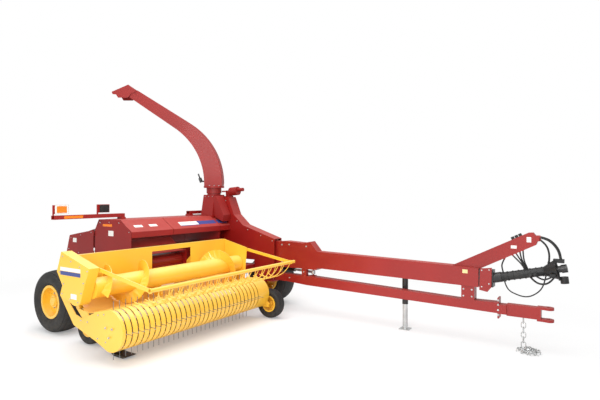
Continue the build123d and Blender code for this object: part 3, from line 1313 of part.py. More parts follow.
# ----------------------------------------------------- origin and the export
boxes = [part.bounding_box() for part in NODES.values()]
low = [min(tuple(box.min)[i] for box in boxes) for i in range(3)]
high = [max(tuple(box.max)[i] for box in boxes) for i in range(3)]
SHIFT = (-(low[0] + high[0]) / 2, -(low[1] + high[1]) / 2, -low[2])


def export_all():
    """Moves every piece into the shared frame and writes it out."""
    os.makedirs("parts", exist_ok=True)
    for label, part in NODES.items():
        solids = [solid.moved(Location(SHIFT)) for solid in part.solids()]
        moved = solids[0] if len(solids) == 1 else Compound(solids)
        moved.label = label
        export_step(moved, f"parts/{label}.step")
    print("shift", [round(v, 2) for v in SHIFT])
    print("size", [round(high[i] - low[i], 2) for i in range(3)])


if __name__ == "__main__":
    export_all()
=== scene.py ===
# %% [markdown]
# # A trailed forage harvester, part by part
# The CAD model is loaded first as a frame that never moves. What is made here is a finish
# for one of its parts, a small detail that rides on one of its bodies, or a hose or a chain
# that is shown instead of a plain part.

import json
import math
import random

import bmesh
import bpy
from mathutils import Matrix, Vector


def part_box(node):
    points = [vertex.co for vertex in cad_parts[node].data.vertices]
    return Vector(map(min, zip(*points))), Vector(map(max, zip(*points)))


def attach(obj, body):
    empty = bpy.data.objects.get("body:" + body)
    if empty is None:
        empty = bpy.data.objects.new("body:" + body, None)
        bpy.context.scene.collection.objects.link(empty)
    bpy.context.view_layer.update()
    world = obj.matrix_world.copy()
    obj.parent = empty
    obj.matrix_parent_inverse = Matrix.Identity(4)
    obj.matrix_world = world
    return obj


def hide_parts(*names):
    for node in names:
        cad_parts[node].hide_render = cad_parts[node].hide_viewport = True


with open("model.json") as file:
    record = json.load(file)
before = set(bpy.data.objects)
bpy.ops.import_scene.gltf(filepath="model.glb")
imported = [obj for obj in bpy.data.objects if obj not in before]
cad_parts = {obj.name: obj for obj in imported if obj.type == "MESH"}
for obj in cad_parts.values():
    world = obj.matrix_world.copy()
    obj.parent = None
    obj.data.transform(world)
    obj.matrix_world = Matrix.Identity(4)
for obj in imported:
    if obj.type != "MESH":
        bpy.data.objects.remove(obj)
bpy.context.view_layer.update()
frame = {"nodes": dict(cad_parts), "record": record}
nodes = frame["nodes"]

# %% [markdown]
# ## Where things are
# The machine was drawn from a point midway between its main wheels. The centre of the left
# main rim is known in both, so one shift turns the drawing's millimetres into this frame.

# %% From the drawing's millimetres to the frame
low, high = (Vector(corner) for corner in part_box("main_tyre_left"))
DRAWN_WHEEL = Vector((1.455, 0.120, 0.3935))
SHIFT = (low + high) / 2 - DRAWN_WHEEL


def at(x, y, z):
    """A drawn point in millimetres, as a place in this frame in metres."""
    return Vector((x, y, z)) / 1000 + SHIFT


print("shift:", [round(v, 4) for v in SHIFT])

# %% [markdown]
# ## The camera
# A level camera keeps upright edges upright. The view is lowered a little with the
# vertical shift, and not by tipping the camera, so nothing leans.

# %% Camera
EYE = (-4770, -4600, 1744)
SENSOR_MM = 36.0
LENS_MM = 28.32
LEVEL_DEG = 90
HEADING_DEG = -56.3
DROP = -0.0075
camera_data = bpy.data.cameras.new("camera")
camera = bpy.data.objects.new("camera", camera_data)
bpy.context.collection.objects.link(camera)
camera.location = at(*EYE)
camera.rotation_euler = (math.radians(LEVEL_DEG), 0, math.radians(HEADING_DEG))
camera_data.sensor_width = SENSOR_MM
camera_data.lens = LENS_MM
camera_data.shift_y = DROP
bpy.context.scene.camera = camera
print("camera at", [round(v, 3) for v in camera.location])

# %% [markdown]
# ## Hoses
# Each hose is one smooth curve with a round section. It passes the same points as the CAD model's
# plain tube, and runs from the arm or the guard to its other end.

# %% Hoses
# name: CAD part, radius, length, then the points that it passes, all in millimetres
HOSES = {
    "bundle_right": ("hose_bundle", 11, 315, [
        (987, -3923, 1283), (987, -3981, 1270), (987, -4036, 1232), (987, -4079, 1178),
        (987, -4106, 1122), (987, -4116, 1064),
    ]),
    "bundle_middle": ("hose_bundle", 11, 322, [
        (1010, -3923, 1287), (1010, -3983, 1274), (1010, -4040, 1236), (1010, -4084, 1182),
        (1010, -4110, 1124), (1010, -4118, 1064),
    ]),
    "bundle_left": ("hose_bundle", 11, 315, [
        (1033, -3923, 1283), (1033, -3981, 1270), (1033, -4036, 1232), (1033, -4079, 1178),
        (1033, -4106, 1122), (1033, -4116, 1064),
    ]),
    "long_hose": ("hose_bundle", 10, 255, [
        (1010, -3923, 1252), (1010, -3961, 1220), (1010, -3990, 1174), (1010, -4004, 1122),
        (1010, -4008, 1072), (1010, -4004, 1024),
    ]),
    "drop_one": ("hose_drops", 8, 182, [
        (983, -3648, 1066), (983, -3698, 1016), (983, -3742, 970), (984, -3764, 928),
    ]),
    "drop_two": ("hose_drops", 8, 178, [
        (1001, -3681, 1083), (1001, -3714, 1032), (1001, -3748, 978), (1002, -3768, 928),
    ]),
    "drop_three": ("hose_drops", 8, 185, [
        (1019, -3714, 1101), (1019, -3724, 1043), (1019, -3750, 984), (1020, -3776, 928),
    ]),
    "drop_four": ("hose_drops", 8, 197, [
        (1037, -3742, 1117), (1037, -3745, 1058), (1037, -3758, 990), (1037, -3788, 928),
    ]),
    "gearbox_hose": ("hose_drops", 8, 150, [
        (1000, -3550, 1016), (1000, -3528, 970), (1000, -3525, 922), (1000, -3540, 872),
    ]),
    "near_loop": ("hose_loops", 10, 299, [
        (952, -3826, 850), (949, -3872, 798), (944, -3945, 776), (930, -4020, 804),
        (915, -4062, 868),
    ]),
    "short_loop": ("hose_loops", 9, 174, [
        (928, -3880, 872), (928, -3930, 838), (930, -3987, 834), (934, -4036, 868),
    ]),
    "thin_loop": ("hose_loops", 7, 623, [
        (985, -3560, 762), (984, -3578, 706), (982, -3617, 661), (980, -3675, 638),
        (979, -3735, 620), (978, -3799, 620), (977, -3863, 650), (976, -3925, 706),
        (975, -3960, 778), (975, -3977, 862),
    ]),
}
print("hose lengths in mm:", {name: length for name, (_, _, length, _) in HOSES.items()})

# %% [markdown]
# ## From points to hoses
# A NURBS curve of low order stays close to its points and has no kinks. Its bevel gives the
# round section. Each hose takes the place of the CAD part's plain tube and moves with the
# body that holds it.

# %% Make the hoses
BEVEL_STEPS = 5
STEPS_BETWEEN = 10
body_of = {
    node: body for body, held in frame["record"]["behaviour"]["bodies"].items() for node in held
}
hose_objects = []
for name, (part, radius, length, points) in HOSES.items():
    data = bpy.data.curves.new(name, "CURVE")
    data.dimensions = "3D"
    data.bevel_depth = radius / 1000
    data.bevel_resolution = BEVEL_STEPS
    data.resolution_u = STEPS_BETWEEN
    data.use_fill_caps = True
    spline = data.splines.new("NURBS")
    spline.points.add(len(points) - 1)
    for point, place in zip(spline.points, points):
        point.co = (*at(*place), 1)
    spline.order_u = 3
    spline.use_endpoint_u = True
    hose = bpy.data.objects.new(name, data)
    bpy.context.collection.objects.link(hose)
    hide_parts(part)
    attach(hose, body_of[part])
    hose_objects.append(hose)
print("hoses:", len(hose_objects))

# %% [markdown]
# ## Shader maths
# Long node chains are hard to read. A small class wraps a socket, so that `1 - mask` or
# `height * 0.5` adds the Math node by itself. Any other node comes from one method that takes
# its type, its settings and what goes into its sockets.

# %% A socket that understands + - *
class Value:
    """One output of a node, with the sums that can be done on it."""

    def __init__(self, tree, socket):
        self.tree, self.socket = tree, socket

    def math(self, operation, *others, swap=False):
        values = [self, *others]
        if swap:
            values.reverse()
        return self.tree.node("ShaderNodeMath", {"operation": operation}, dict(enumerate(values)))

    def __add__(self, other):
        return self.math("ADD", other)

    def __radd__(self, other):
        return self.math("ADD", other)

    def __sub__(self, other):
        return self.math("SUBTRACT", other)

    def __rsub__(self, other):
        return self.math("SUBTRACT", other, swap=True)

    def __mul__(self, other):
        return self.math("MULTIPLY", other)

    def __rmul__(self, other):
        return self.math("MULTIPLY", other)

    def power(self, exponent):
        return self.math("POWER", exponent)

    def sharp(self, low, high):
        """0 below low, 1 above high, straight between."""
        return self.tree.node(
            "ShaderNodeMapRange", {"clamp": True},
            {"Value": self, "From Min": low, "From Max": high, "To Min": 0.0, "To Max": 1.0},
        )


class Tree:
    """The nodes of one material or world, emptied, and the one method that adds to them."""

    def __init__(self, owner):
        owner.use_nodes = True
        self.nodes, self.links = owner.node_tree.nodes, owner.node_tree.links
        self.nodes.clear()

    def feed(self, target, value):
        """Puts a link or a plain value into a socket."""
        if isinstance(value, Value):
            self.links.new(value.socket, target)
        else:
            target.default_value = value

    def node(self, kind, settings, sockets, output=0):
        made = self.nodes.new(kind)
        for key, value in settings.items():
            setattr(made, key, value)
        for key, value in sockets.items():
            self.feed(made.inputs[key], value)
        return Value(self, made.outputs[output]) if made.outputs else made


print("shader maths ready:", Value.__name__, "and", Tree.__name__)

# %% [markdown]
# ## A finish
# Every finish is one principled shader, so a finish is a material with that shader in place
# and a few short words for what is asked for most: noise, a mix of colours, and bump. The
# object's own coordinates go into all of it, so a finish stays put when a part moves.

# %% A material with one shader
COLOUR_FACTOR, COLOUR_A, COLOUR_B, COLOUR_OUT = 0, 6, 7, 2


class Finish(Tree):
    """A new material with one principled shader. Its constants go on the shader's sockets."""

    def __init__(self, name, **constants):
        self.material = bpy.data.materials.new(name)
        super().__init__(self.material)
        constants = {key.replace("_", " "): value for key, value in constants.items()}
        self.shaded = self.node("ShaderNodeBsdfPrincipled", {}, constants)
        self.out = self.node("ShaderNodeOutputMaterial", {}, {"Surface": self.shaded})
        self.place = self.node("ShaderNodeTexCoord", {}, {}, "Object")
        self.facing = self.node("ShaderNodeNewGeometry", {}, {}, "Normal")

    def noise(self, scale, detail=3.0, rough=0.5, where=None):
        return self.node(
            "ShaderNodeTexNoise", {"normalize": True},
            {"Vector": where or self.place, "Scale": scale, "Detail": detail, "Roughness": rough},
        )

    def split(self, vector):
        x = self.node("ShaderNodeSeparateXYZ", {}, {0: vector})
        return [Value(self, output) for output in x.socket.node.outputs]

    def mix(self, factor, a, b):
        """Colour a where the factor is 0 and colour b where it is 1."""
        colours = {COLOUR_FACTOR: factor, COLOUR_A: a, COLOUR_B: b}
        return self.node("ShaderNodeMix", {"data_type": "RGBA"}, colours, COLOUR_OUT)

    def bump(self, height, strength, distance=0.001):
        return self.node(
            "ShaderNodeBump", {}, {"Height": height, "Strength": strength, "Distance": distance}
        )

    def set(self, **sockets):
        """Feeds the shader's sockets and gives the material back."""
        for key, value in sockets.items():
            self.feed(self.shaded.socket.node.inputs[key.replace("_", " ")], value)
        return self.material


def rgb(code):
    """A hex colour as the linear values that Blender mixes, and full alpha."""
    parts = [int(code[i : i + 2], 16) / 255 for i in (0, 2, 4)]
    return (*(p / 12.92 if p <= 0.04045 else ((p + 0.055) / 1.055) ** 2.4 for p in parts), 1.0)


print("white as Blender mixes it:", rgb("FFFFFF"))

# %% [markdown]
# ## Paint
# Farm machines are sprayed in a thick glossy coat over sheet steel. It shows a fine orange peel, a
# pale film on faces that look up that is partly dust and partly painted light from above, small chips
# on the way to the ground, and a slow drift in tone. Each comes from its own noise, and a clear coat
# on top carries the gloss.

# %% Paint
def paint(name, colour, dusty, deep, gloss=0.34, dust=0.3, coat=0.5):
    f = Finish(name, Coat_Roughness=0.12, Coat_IOR=1.5)
    drift = f.noise(1.3, 2.0)
    mottled = f.mix(drift.sharp(0.3, 0.7), rgb(deep), rgb(colour))
    # Faces that look up are paled towards the dusty colour: partly a patchy dust film, partly a
    # painted highlight for light falling from above.
    up = f.split(f.facing)[2].sharp(0.15, 0.95)
    film = (f.noise(9.0, 5.0, 0.6).sharp(0.25, 0.8) * 0.6 + 0.4) * up * dust
    body = f.mix(film, mottled, rgb(dusty))
    chips = f.noise(95.0, 2.0, 0.7).sharp(0.735, 0.76) * f.noise(4.0, 1.0).sharp(0.5, 0.62)
    colour_out = f.mix(chips * 0.5, body, rgb("5A4A42"))
    peel = f.noise(260.0, 1.0)
    roughness = gloss + film * 0.3 + chips * 0.2 + f.noise(30.0, 2.0) * 0.05
    return f.set(
        Base_Color=colour_out, Roughness=roughness, Coat_Weight=coat - film * 0.6,
        Normal=f.bump(peel * 0.6 + chips * -1.0, 0.12, 0.0004),
    )


# The third colour of each paint is what its upward faces pale towards: dust and painted top light
# together.
RED = paint("red_enamel", "9E1812", "C8655A", "8E120D", gloss=0.4, dust=0.4, coat=0.22)
DEEP_RED = paint("deep_red_enamel", "92130D", "A03026", "840F0A", gloss=0.5, dust=0.2, coat=0.1)
YELLOW = paint("yellow_enamel", "F8C43C", "FFE8B0", "F1BA33", dust=0.35, coat=0.4)
BLACK = paint("black_enamel", "1B1B1C", "55524E", "131314", gloss=0.4, dust=0.4, coat=0.3)
print("paints:", RED.name, YELLOW.name, BLACK.name)

# %% [markdown]
# ## Rubber
# Tyre rubber is never black: it is a dark grey with dust low on the sidewall. The tread is bump: ribs
# run round the tyre and slanting cuts part them into blocks, and the grooves between them are darkened
# as painted shade. Both are sine waves of the place measured from the axle, so they fit every tyre.

# %% Rubber
RIB_STEP = 0.045
BLOCKS_ROUND = 44
CUT_SLANT = 70
RING_STEP = 0.011


def rubber(part, colour, dusty):
    """Tyre rubber with its tread cut in bump, measured from the tyre's own axle."""
    low, high = (Vector(corner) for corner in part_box(part))
    middle, radius = (low + high) / 2, (high.z - low.z) / 2
    f = Finish(part + "_rubber", Specular_IOR_Level=0.35)
    x, y, z = f.split(f.place)
    across_it, back, up = x - middle.x, y - middle.y, z - middle.z
    out = (back * back + up * up).power(0.5)
    turn = back.math("ARCTAN2", up)
    ribs = (across_it * (math.pi / RIB_STEP)).math("SINE").math("ABSOLUTE").sharp(0.05, 0.3)
    cuts = (turn * BLOCKS_ROUND + across_it.math("ABSOLUTE") * CUT_SLANT).math("SINE").math("ABSOLUTE")
    blocks = ribs * (cuts.sharp(0.1, 0.35) * 0.7 + 0.3)
    crown = out.sharp(radius * 0.915, radius * 0.93)
    tread = 1 - crown * (1 - blocks)
    rings = (out * (2 * math.pi / RING_STEP)).math("SINE").sharp(0.7, 0.95) * (1 - crown)
    low_down = 1 - up.sharp(-radius, -radius * 0.1)
    dust = f.noise(14.0, 5.0, 0.65).sharp(0.35, 0.75) * (low_down * 0.35 + 0.12)
    grain = f.noise(420.0, 2.0)
    # Where the tread is low, in its grooves, the colour is darkened towards near black: painted shade
    # in the grooves.
    colour_out = f.mix(1 - tread * 0.6 - 0.4, f.mix(dust, rgb(colour), rgb(dusty)), rgb("0B0B0B"))
    return f.set(
        Base_Color=colour_out, Roughness=0.6 + dust * 0.4 + f.noise(22.0, 2.0) * 0.1,
        Normal=f.bump(tread + rings * 0.15 + grain * 0.05, 0.9, 0.006),
    )


print("tread: a rib every", RIB_STEP, "m and", BLOCKS_ROUND, "cuts round the tyre")

# %% [markdown]
# ## Bare metals
# Bare steel is drawn in one direction, and zinc has a faint stain. Both are nearly all metal,
# with scratches in the roughness and a shallow bump.

# %% Metals
def metal(name, colour, dark, rough, scratch, stretch=(1, 1, 1)):
    f = Finish(name)
    along = f.node("ShaderNodeMapping", {}, {"Vector": f.place, "Scale": stretch})
    drawn = f.noise(160.0, 3.0, 0.6, along)
    stain = f.noise(7.0, 4.0, 0.6).sharp(0.4, 0.75)
    return f.set(
        Base_Color=f.mix(stain * 0.6, rgb(colour), rgb(dark)),
        Roughness=rough + stain * 0.2 + drawn * scratch,
        Metallic=0.95 - stain * 0.25,
        Normal=f.bump(drawn, 0.15, 0.0004),
    )


STEEL = metal("bare_steel", "A3A5A8", "6F6B66", 0.3, 0.15, (0.1, 1, 1))
ZINC = metal("zinc_plate", "D2D4D4", "A5A6A3", 0.34, 0.1)
TINE_STEEL = metal("tine_steel", "8A8C8E", "5C5A58", 0.34, 0.1)
print("metals:", STEEL.name, ZINC.name, TINE_STEEL.name)


# %% [markdown]
# ## Plastic and hoses
# Moulded plastic has a fine grain and goes grey where it is worn. A hose is the same finish
# with a finer grain.

# %% Plastic and hose rubber
def plastic(name, colour, worn, rough=0.45, grain_scale=700.0):
    f = Finish(name)
    worn_mask = f.noise(6.0, 4.0, 0.6).sharp(0.45, 0.8) * 0.5
    grain = f.noise(grain_scale, 1.0)
    return f.set(
        Base_Color=f.mix(worn_mask, rgb(colour), rgb(worn)),
        Roughness=rough + worn_mask * 0.3 + grain * 0.05,
        Normal=f.bump(grain, 0.12, 0.0003),
    )


BLACK_PLASTIC = plastic("black_plastic", "161616", "3C3B39")
HOSE = plastic("hose_rubber", "141414", "2F2E2D", 0.5, 900.0)
print("plastics:", BLACK_PLASTIC.name, HOSE.name)

# %% [markdown]
# ## A finish for every CAD part
# Each CAD part names a material slot. One table turns a slot into a finish. A tyre has none
# there, because its finish is made from its own axle. A few parts get another finish below.

# %% Hand out the finishes
SLOT_FINISH = {
    "red_paint": RED, "yellow_paint": YELLOW, "black_paint": BLACK, "tyre_rubber": None,
    "bare_steel": STEEL, "zinc_plate": ZINC, "black_plastic": BLACK_PLASTIC, "hose_rubber": HOSE,
}
slot_of = {entry["node"]: entry["material_slot"] for entry in frame["record"]["subparts"]}


def wear(name, material):
    """Puts a finish on all of a CAD part's material slots."""
    thing = nodes[name]
    if not thing.material_slots:
        thing.data.materials.append(material)
    for holder in thing.material_slots:
        holder.link = "OBJECT"
        holder.material = material


for name in nodes:
    wear(name, SLOT_FINISH[slot_of[name]] or rubber(name, "262626", "6E675E"))
for name, material in {
    "pickup_reel": TINE_STEEL, "spout": DEEP_RED, "deflector": DEEP_RED, "spout_tower": DEEP_RED,
    "spout_drive": DEEP_RED, "side_panel_right": DEEP_RED, "right_shield": DEEP_RED,
    "rear_cover": DEEP_RED, "front_gearbox": BLACK, "pto_shaft": BLACK,
}.items():
    wear(name, material)
print("finished", len(nodes), "CAD parts")

# %% [markdown]
# ## Small parts
# Bolts, plates, lamps and stripes are joined meshes: one object holds a whole row of bolts. Each shape
# is added to a bmesh at its drawn place, and its edges are rounded there.

# %% Tools for small parts
SHARP_DEG = 35


def turned(normal):
    """The rotation that turns +Z to a direction."""
    return Vector(normal).to_track_quat("Z", "Y").to_matrix().to_4x4()


def round_off(bm, made, offset):
    """Rounds every edge of a shape that was just made."""
    edges = {edge for vert in made["verts"] for edge in vert.link_edges}
    bmesh.ops.bevel(
        bm, geom=list(edges), offset=offset, segments=2, affect="EDGES", clamp_overlap=True
    )


def bar(bm, centre, size, normal=(0, 0, 1), soft=0.8):
    """A rounded box at a place in millimetres, its own z along a direction."""
    sized = Matrix.Diagonal((*(Vector(size) / 1000), 1))
    matrix = Matrix.Translation(at(*centre)) @ turned(normal) @ sized
    round_off(bm, bmesh.ops.create_cube(bm, size=1, matrix=matrix), soft / 1000)


def disc(bm, centre, normal, radius, height, sides=24, soft=0.6, top=1.0):
    """A rounded disc that stands on a place in millimetres, along a direction."""
    foot = at(*centre) + Vector(normal).normalized() * height / 2000
    made = bmesh.ops.create_cone(
        bm, cap_ends=True, segments=sides, radius1=radius / 1000, radius2=radius * top / 1000,
        depth=height / 1000, matrix=Matrix.Translation(foot) @ turned(normal),
    )
    round_off(bm, made, soft / 1000)


def bolt(bm, centre, normal, size):
    """A washer with a six-sided head and the end of its thread."""
    disc(bm, centre, normal, size, size * 0.22, 20, 0.3)
    disc(bm, centre, normal, size * 0.78, size * 0.85, 6, 0.5)
    disc(bm, centre, normal, size * 0.38, size * 1.15, 12, 0.3)


def small(name, part, material, build):
    """One object from a function that fills its bmesh."""
    bm = bmesh.new()
    build(bm)
    mesh = bpy.data.meshes.new(name)
    bm.to_mesh(mesh)
    bm.free()
    mesh.materials.append(material)
    mesh.shade_smooth()
    mesh.set_sharp_from_angle(angle=math.radians(SHARP_DEG))
    thing = bpy.data.objects.new(name, mesh)
    bpy.context.collection.objects.link(thing)
    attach(thing, body_of[part])
    return thing


for hose in hose_objects:
    hose.data.materials.append(HOSE)
print("tools ready, hoses finished:", len(hose_objects))

# %% [markdown]
# ## Wheel nuts and caps
# Six nuts hold each rim to its hub, on a circle, and a tapered yellow cap closes the bearing.
# The places round the circle come from a formula, and one loop serves all four wheels.

# %% Wheel nuts and caps
NUTS_ON_A_WHEEL = 6


def ring_of(centre, radius, count, axis, start=0.0):
    """Places round a circle that is square to an axis."""
    places = []
    for k in range(count):
        turn = 2 * math.pi * k / count + start
        c, s = radius * math.cos(turn), radius * math.sin(turn)
        step = {"x": (0, c, s), "z": (c, s, 0)}[axis]
        places.append(tuple(a + b for a, b in zip(centre, step)))
    return places


# name: wheel's middle, way out, disc's place from it, nut circle, nut size, disc's thickness
WHEELS = {
    "main_rim_right": ((-1422, 1354, 393.5), -1, 35.0, 105.0, 13.0, 5),
    "main_rim_left": ((1455, 120, 393.5), 1, 35.0, 105.0, 13.0, 5),
    "gauge_rim_right": ((-1500, 533, 205), -1, 15.7, 50.0, 7.0, 3),
    "gauge_rim_left": ((625, -500, 205), 1, 15.7, 50.0, 7.0, 3),
}
for part, (centre, way, disc_x, circle, size, thick) in WHEELS.items():
    face = (centre[0] + way * (disc_x + thick), centre[1], centre[2])
    places = ring_of(face, circle, NUTS_ON_A_WHEEL, "x")
    small(
        part + "_nuts", part, ZINC,
        lambda bm: [bolt(bm, spot, (way, 0, 0), size) for spot in places],
    )

# kind of wheel: where the cap stands out from the middle, its radius and height
CAPS = {"main": (86, 60, 20), "gauge": (39, 30, 18)}
CAP_SIDES, CAP_SOFT, CAP_TOP = 40, 4, 0.82
for part, (centre, way, *_) in WHEELS.items():
    start, cap_r, tall = CAPS[part.split("_")[0]]
    foot = (centre[0] + way * start, centre[1], centre[2])
    small(
        part + "_cap", part, YELLOW,
        lambda bm: disc(bm, foot, (way, 0, 0), cap_r, tall, CAP_SIDES, CAP_SOFT, CAP_TOP),
    )
print("wheels with nuts and a cap:", len(WHEELS))

# %% [markdown]
# ## Bolts
# One table holds every row of bolts: its part, the way it faces, its size and its places.

# %% Bolts
SPOUT_AXIS = (880, 861)
# name: part, direction, size, places
BOLTS = {
    "ring_bolts": ("spout", (0, 0, 1), 11, ring_of((*SPOUT_AXIS, 1898), 148, 12, "z", 0.26)),
    "neck_bolts": ("spout_tower", (-1, 0, 0), 9, [(762, y, 1728) for y in (780, 861, 940)]),
    "hub_bolts": ("header_end_right", (-1, 0, 0), 12, ring_of((-1862, -327, 360), 62, 3, "x", 0.5)),
    "end_bolts": (
        "header_end_right", (-1, 0, 0), 9,
        [(-1850, y, z) for y, z in (
            (-230, 520), (-130, 500), (60, 400), (180, 400), (-260, 240), (-120, 255),
        )],
    ),
    "drive_bolts": (
        "header_end_right", (-1, 0, 0), 9,
        [(-1940, y, z) for y, z in (
            (-80, 960), (60, 995), (220, 1040), (380, 1085), (440, 910), (360, 790), (390, 680),
            (230, 640), (90, 620), (30, 720), (-10, 830),
        )],
    ),
    "shield_bolts": (
        "right_shield", (-1, 0, 0), 8,
        [(-956, y, z) for y, z in (
            (1400, 1235), (1650, 1190), (1890, 1140), (1950, 980), (1700, 940), (1430, 940),
        )],
    ),
    "panel_bolts": (
        "side_panel_right", (-1, 0, 0), 8,
        [(-950, y, z) for y, z in (
            (580, 1270), (790, 1385), (1000, 1385), (1200, 1380), (580, 1050), (580, 850),
        )],
    ),
    "hitch_bolts": (
        "hitch_clevis", (-1, 0, 0), 11, [(950, -3495, z) for z in (385, 440, 500, 550)],
    ),
    "shield_screws": (
        "gearbox_shield", (-1, 0, 0), 8,
        [(936, y, z) for y, z in ((-3320, 880), (-3400, 890), (-3400, 730), (-3320, 690))],
    ),
    "fork_bolts": (
        "tongue_beam", (-1, 0, 0), 12,
        [(940, y, z) for y, z in (
            (-470, 1010), (-600, 1020), (-470, 760), (-600, 760), (-900, 1010),
        )],
    ),
    "rail_bolts": (
        "lower_rail", (-1, 0, 0), 10,
        [(950, y, z) for y, z in (
            (-3110, 640), (-3110, 560), (-3205, 640), (-3205, 560), (-850, 640), (-600, 530),
        )],
    ),
    "cover_bolts": (
        "driveline_cover", (-1, 0, 0), 8,
        [(922, y, z) for y, z in (
            (-300, 560), (-300, 1060), (-80, 1130), (180, 1210), (400, 1340), (640, 1660),
        )],
    ),
}
for name, (part, way, size, places) in BOLTS.items():
    small(name, part, ZINC, lambda bm: [bolt(bm, spot, way, size) for spot in places])
print("rows of bolts:", len(BOLTS))

# %% [markdown]
# ## Films and lenses
# Thin sheets stand half a millimetre proud of the panel. They carry colour only, and no text.

# %% Finishes for films and lenses
WHITE = paint("white_film", "F2F1EC", "FFFFFF", "E6E4DE", gloss=0.3, dust=0.15)
BLUE = paint("blue_film", "27418C", "7083B6", "1F367A", gloss=0.3, dust=0.2)
AMBER = plastic("amber_lens", "F2821A", "E87812", 0.18)
CREAM = paint("cream_plate", "E8D9A0", "F4ECC8", "DCCB8C", gloss=0.4, dust=0.2)
print("films:", WHITE.name, BLUE.name, CREAM.name, "lens:", AMBER.name)

# %% [markdown]
# ## How a film lies
# The sloping lid has its own axes, so a film on it is placed by how far it is up from the
# lid's lip. On an upright panel a film is a thin bar.

# %% Films on the lids and on the panels
FILM_SOFT = 0.3
LID_LIP = (545, 1272)
LID_RISE = Vector((0, 229, 150)).normalized()
LID_OUT = Vector((0, -150, 229)).normalized()


def lid_film(bm, x, up, wide, tall, thick=1.0):
    """A film on the sloping lid, its middle a distance up from the lip."""
    on_lid = Vector((x, LID_LIP[0] + LID_RISE.y * up, LID_LIP[1] + LID_RISE.z * up))
    centre = on_lid + LID_OUT * thick / 2
    turn = Matrix((Vector((1, 0, 0)), LID_RISE, LID_OUT)).transposed().to_4x4()
    size = Matrix.Diagonal((wide / 1000, tall / 1000, thick / 1000, 1))
    matrix = Matrix.Translation(at(*centre)) @ turn @ size
    round_off(bm, bmesh.ops.create_cube(bm, size=1, matrix=matrix), FILM_SOFT / 1000)


def film(bm, middle, size):
    """A film on an upright panel."""
    bar(bm, middle, size, soft=FILM_SOFT)


print("the lid slopes at", round(math.degrees(math.atan2(LID_RISE.z, LID_RISE.y)), 1), "degrees")

# %% [markdown]
# ## Stripes and plates
# Colour stripes run over the lids and the drive box, and small plates sit where notes would
# be. Every plate is left blank. One table holds them all.

# %% Stripes and plates
# name: CAD part, finish, how its films lie, then the measures of each
FILMS = {
    "lid_stripe_white": ("top_cover_left", WHITE, lid_film, [(120, 112, 360, 84)]),
    "lid_stripe_blue": ("top_cover_left", BLUE, lid_film, [
        (490, 112, 376, 84), (120, 62, 360, 12),
    ]),
    "sheet_stripe_blue": ("driveline_cover", BLUE, lid_film, [(815, 112, 200, 84)]),
    "box_stripe_white": ("header_end_right", WHITE, film, [((-1940.5, 235, 950), (1, 380, 40))]),
    "box_stripe_blue": ("header_end_right", BLUE, film, [((-1940.5, 235, 905), (1, 380, 42))]),
    "box_plate": ("header_end_right", WHITE, film, [((-1940.5, 170, 670), (1, 110, 55))]),
    "shield_plates": ("right_shield", WHITE, film, [((-956.5, 1800, 1110), (1, 90, 60))]),
    "panel_plates": ("side_panel_right", WHITE, film, [((-950.5, 965, 1240), (1, 110, 70))]),
    "lid_plates": ("top_cover_right", WHITE, lid_film, [
        (-760, 120, 130, 48), (-520, 120, 130, 48),
    ]),
    "arm_plate": ("hose_arm", WHITE, film, [
        ((977.5, -3810, 1255), (1, 46, 58)), ((977.5, -3655, 1165), (1, 60, 34)),
    ]),
    "beam_plate": ("tongue_beam", CREAM, film, [((939.5, -3130, 850), (1, 60, 44))]),
}
for name, (part, material, lay, films) in FILMS.items():
    small(name, part, material, lambda bm: [lay(bm, *measures) for measures in films])
print("stripes and plates made:", len(FILMS))

# %% [markdown]
# ## Lamps
# Each lamp is a rounded lens in front of its CAD plate. The amber one has a pale frame. A
# long amber strip lies on the right side panel.

# %% Lamps
small("amber_strips", "side_panel_right", AMBER, lambda bm: [
    bar(bm, (-952, 1040, 1345), (4, 200, 32), soft=1.2),
])
small("lens_right", "light_bar_right", AMBER, lambda bm: [
    bar(bm, (-1540, 1101, 1570), (128, 8, 84), soft=3),
    bar(bm, (-1390, 1093, 1471), (250, 4, 34), soft=1.2),
])
small("lens_left", "light_bar_left", AMBER, lambda bm: [
    bar(bm, (1551, 1101, 1570), (128, 8, 84), soft=3),
])
small("lamp_frames", "light_bar_right", WHITE, lambda bm: [
    bar(bm, (-1540, 1103, 1570), (172, 4, 106), soft=1.5),
])
small("dark_lamp", "light_bar_right", BLACK_PLASTIC, lambda bm: [
    bar(bm, (-955, 1100, 1570), (140, 12, 96), soft=4),
])
print("lamps made")

# %% [markdown]
# ## A chain link
# A link is a wire bent into an oval, which is two half rings with a straight stretch between.
# A ring of points round the wire is set at each step round the oval, and faces join them.

# %% A chain link
LINK_LONG = 66
LINK_BEND = 23
LINK_WIRE = 5.5
ROUND_A_LINK = 24
ROUND_THE_WIRE = 8


def link_ring(bm, centre, along, roll):
    """An oval link at a place, its long way along a direction."""
    frame_at = Matrix.Translation(at(*centre)) @ turned(along) @ Matrix.Rotation(roll, 4, "Z")
    half, bend = (LINK_LONG / 2 - LINK_BEND) / 1000, LINK_BEND / 1000
    rows = []
    for k in range(ROUND_A_LINK):
        turn = 2 * math.pi * (k + 0.5) / ROUND_A_LINK
        c, s = math.cos(turn), math.sin(turn)
        spot = Vector((bend * c, 0, bend * s + math.copysign(half, s)))
        row = []
        for j in range(ROUND_THE_WIRE):
            a = 2 * math.pi * j / ROUND_THE_WIRE
            round_it = Vector((c * math.cos(a), math.sin(a), s * math.cos(a)))
            place = spot + round_it * LINK_WIRE / 1000
            row.append(bm.verts.new(frame_at @ place))
        rows.append(row)
    for here, after in zip(rows, rows[1:] + rows[:1]):
        for j in range(ROUND_THE_WIRE):
            beside = (j + 1) % ROUND_THE_WIRE
            bm.faces.new((here[j], here[beside], after[beside], after[j]))


print("one link:", LINK_LONG + 2 * LINK_WIRE, "mm long")

# %% [markdown]
# ## The chain's run and its heap
# The hanging links turn a quarter from one to the next. The heap is a flat spiral of links
# that lie along it, heaped up a little in its middle.

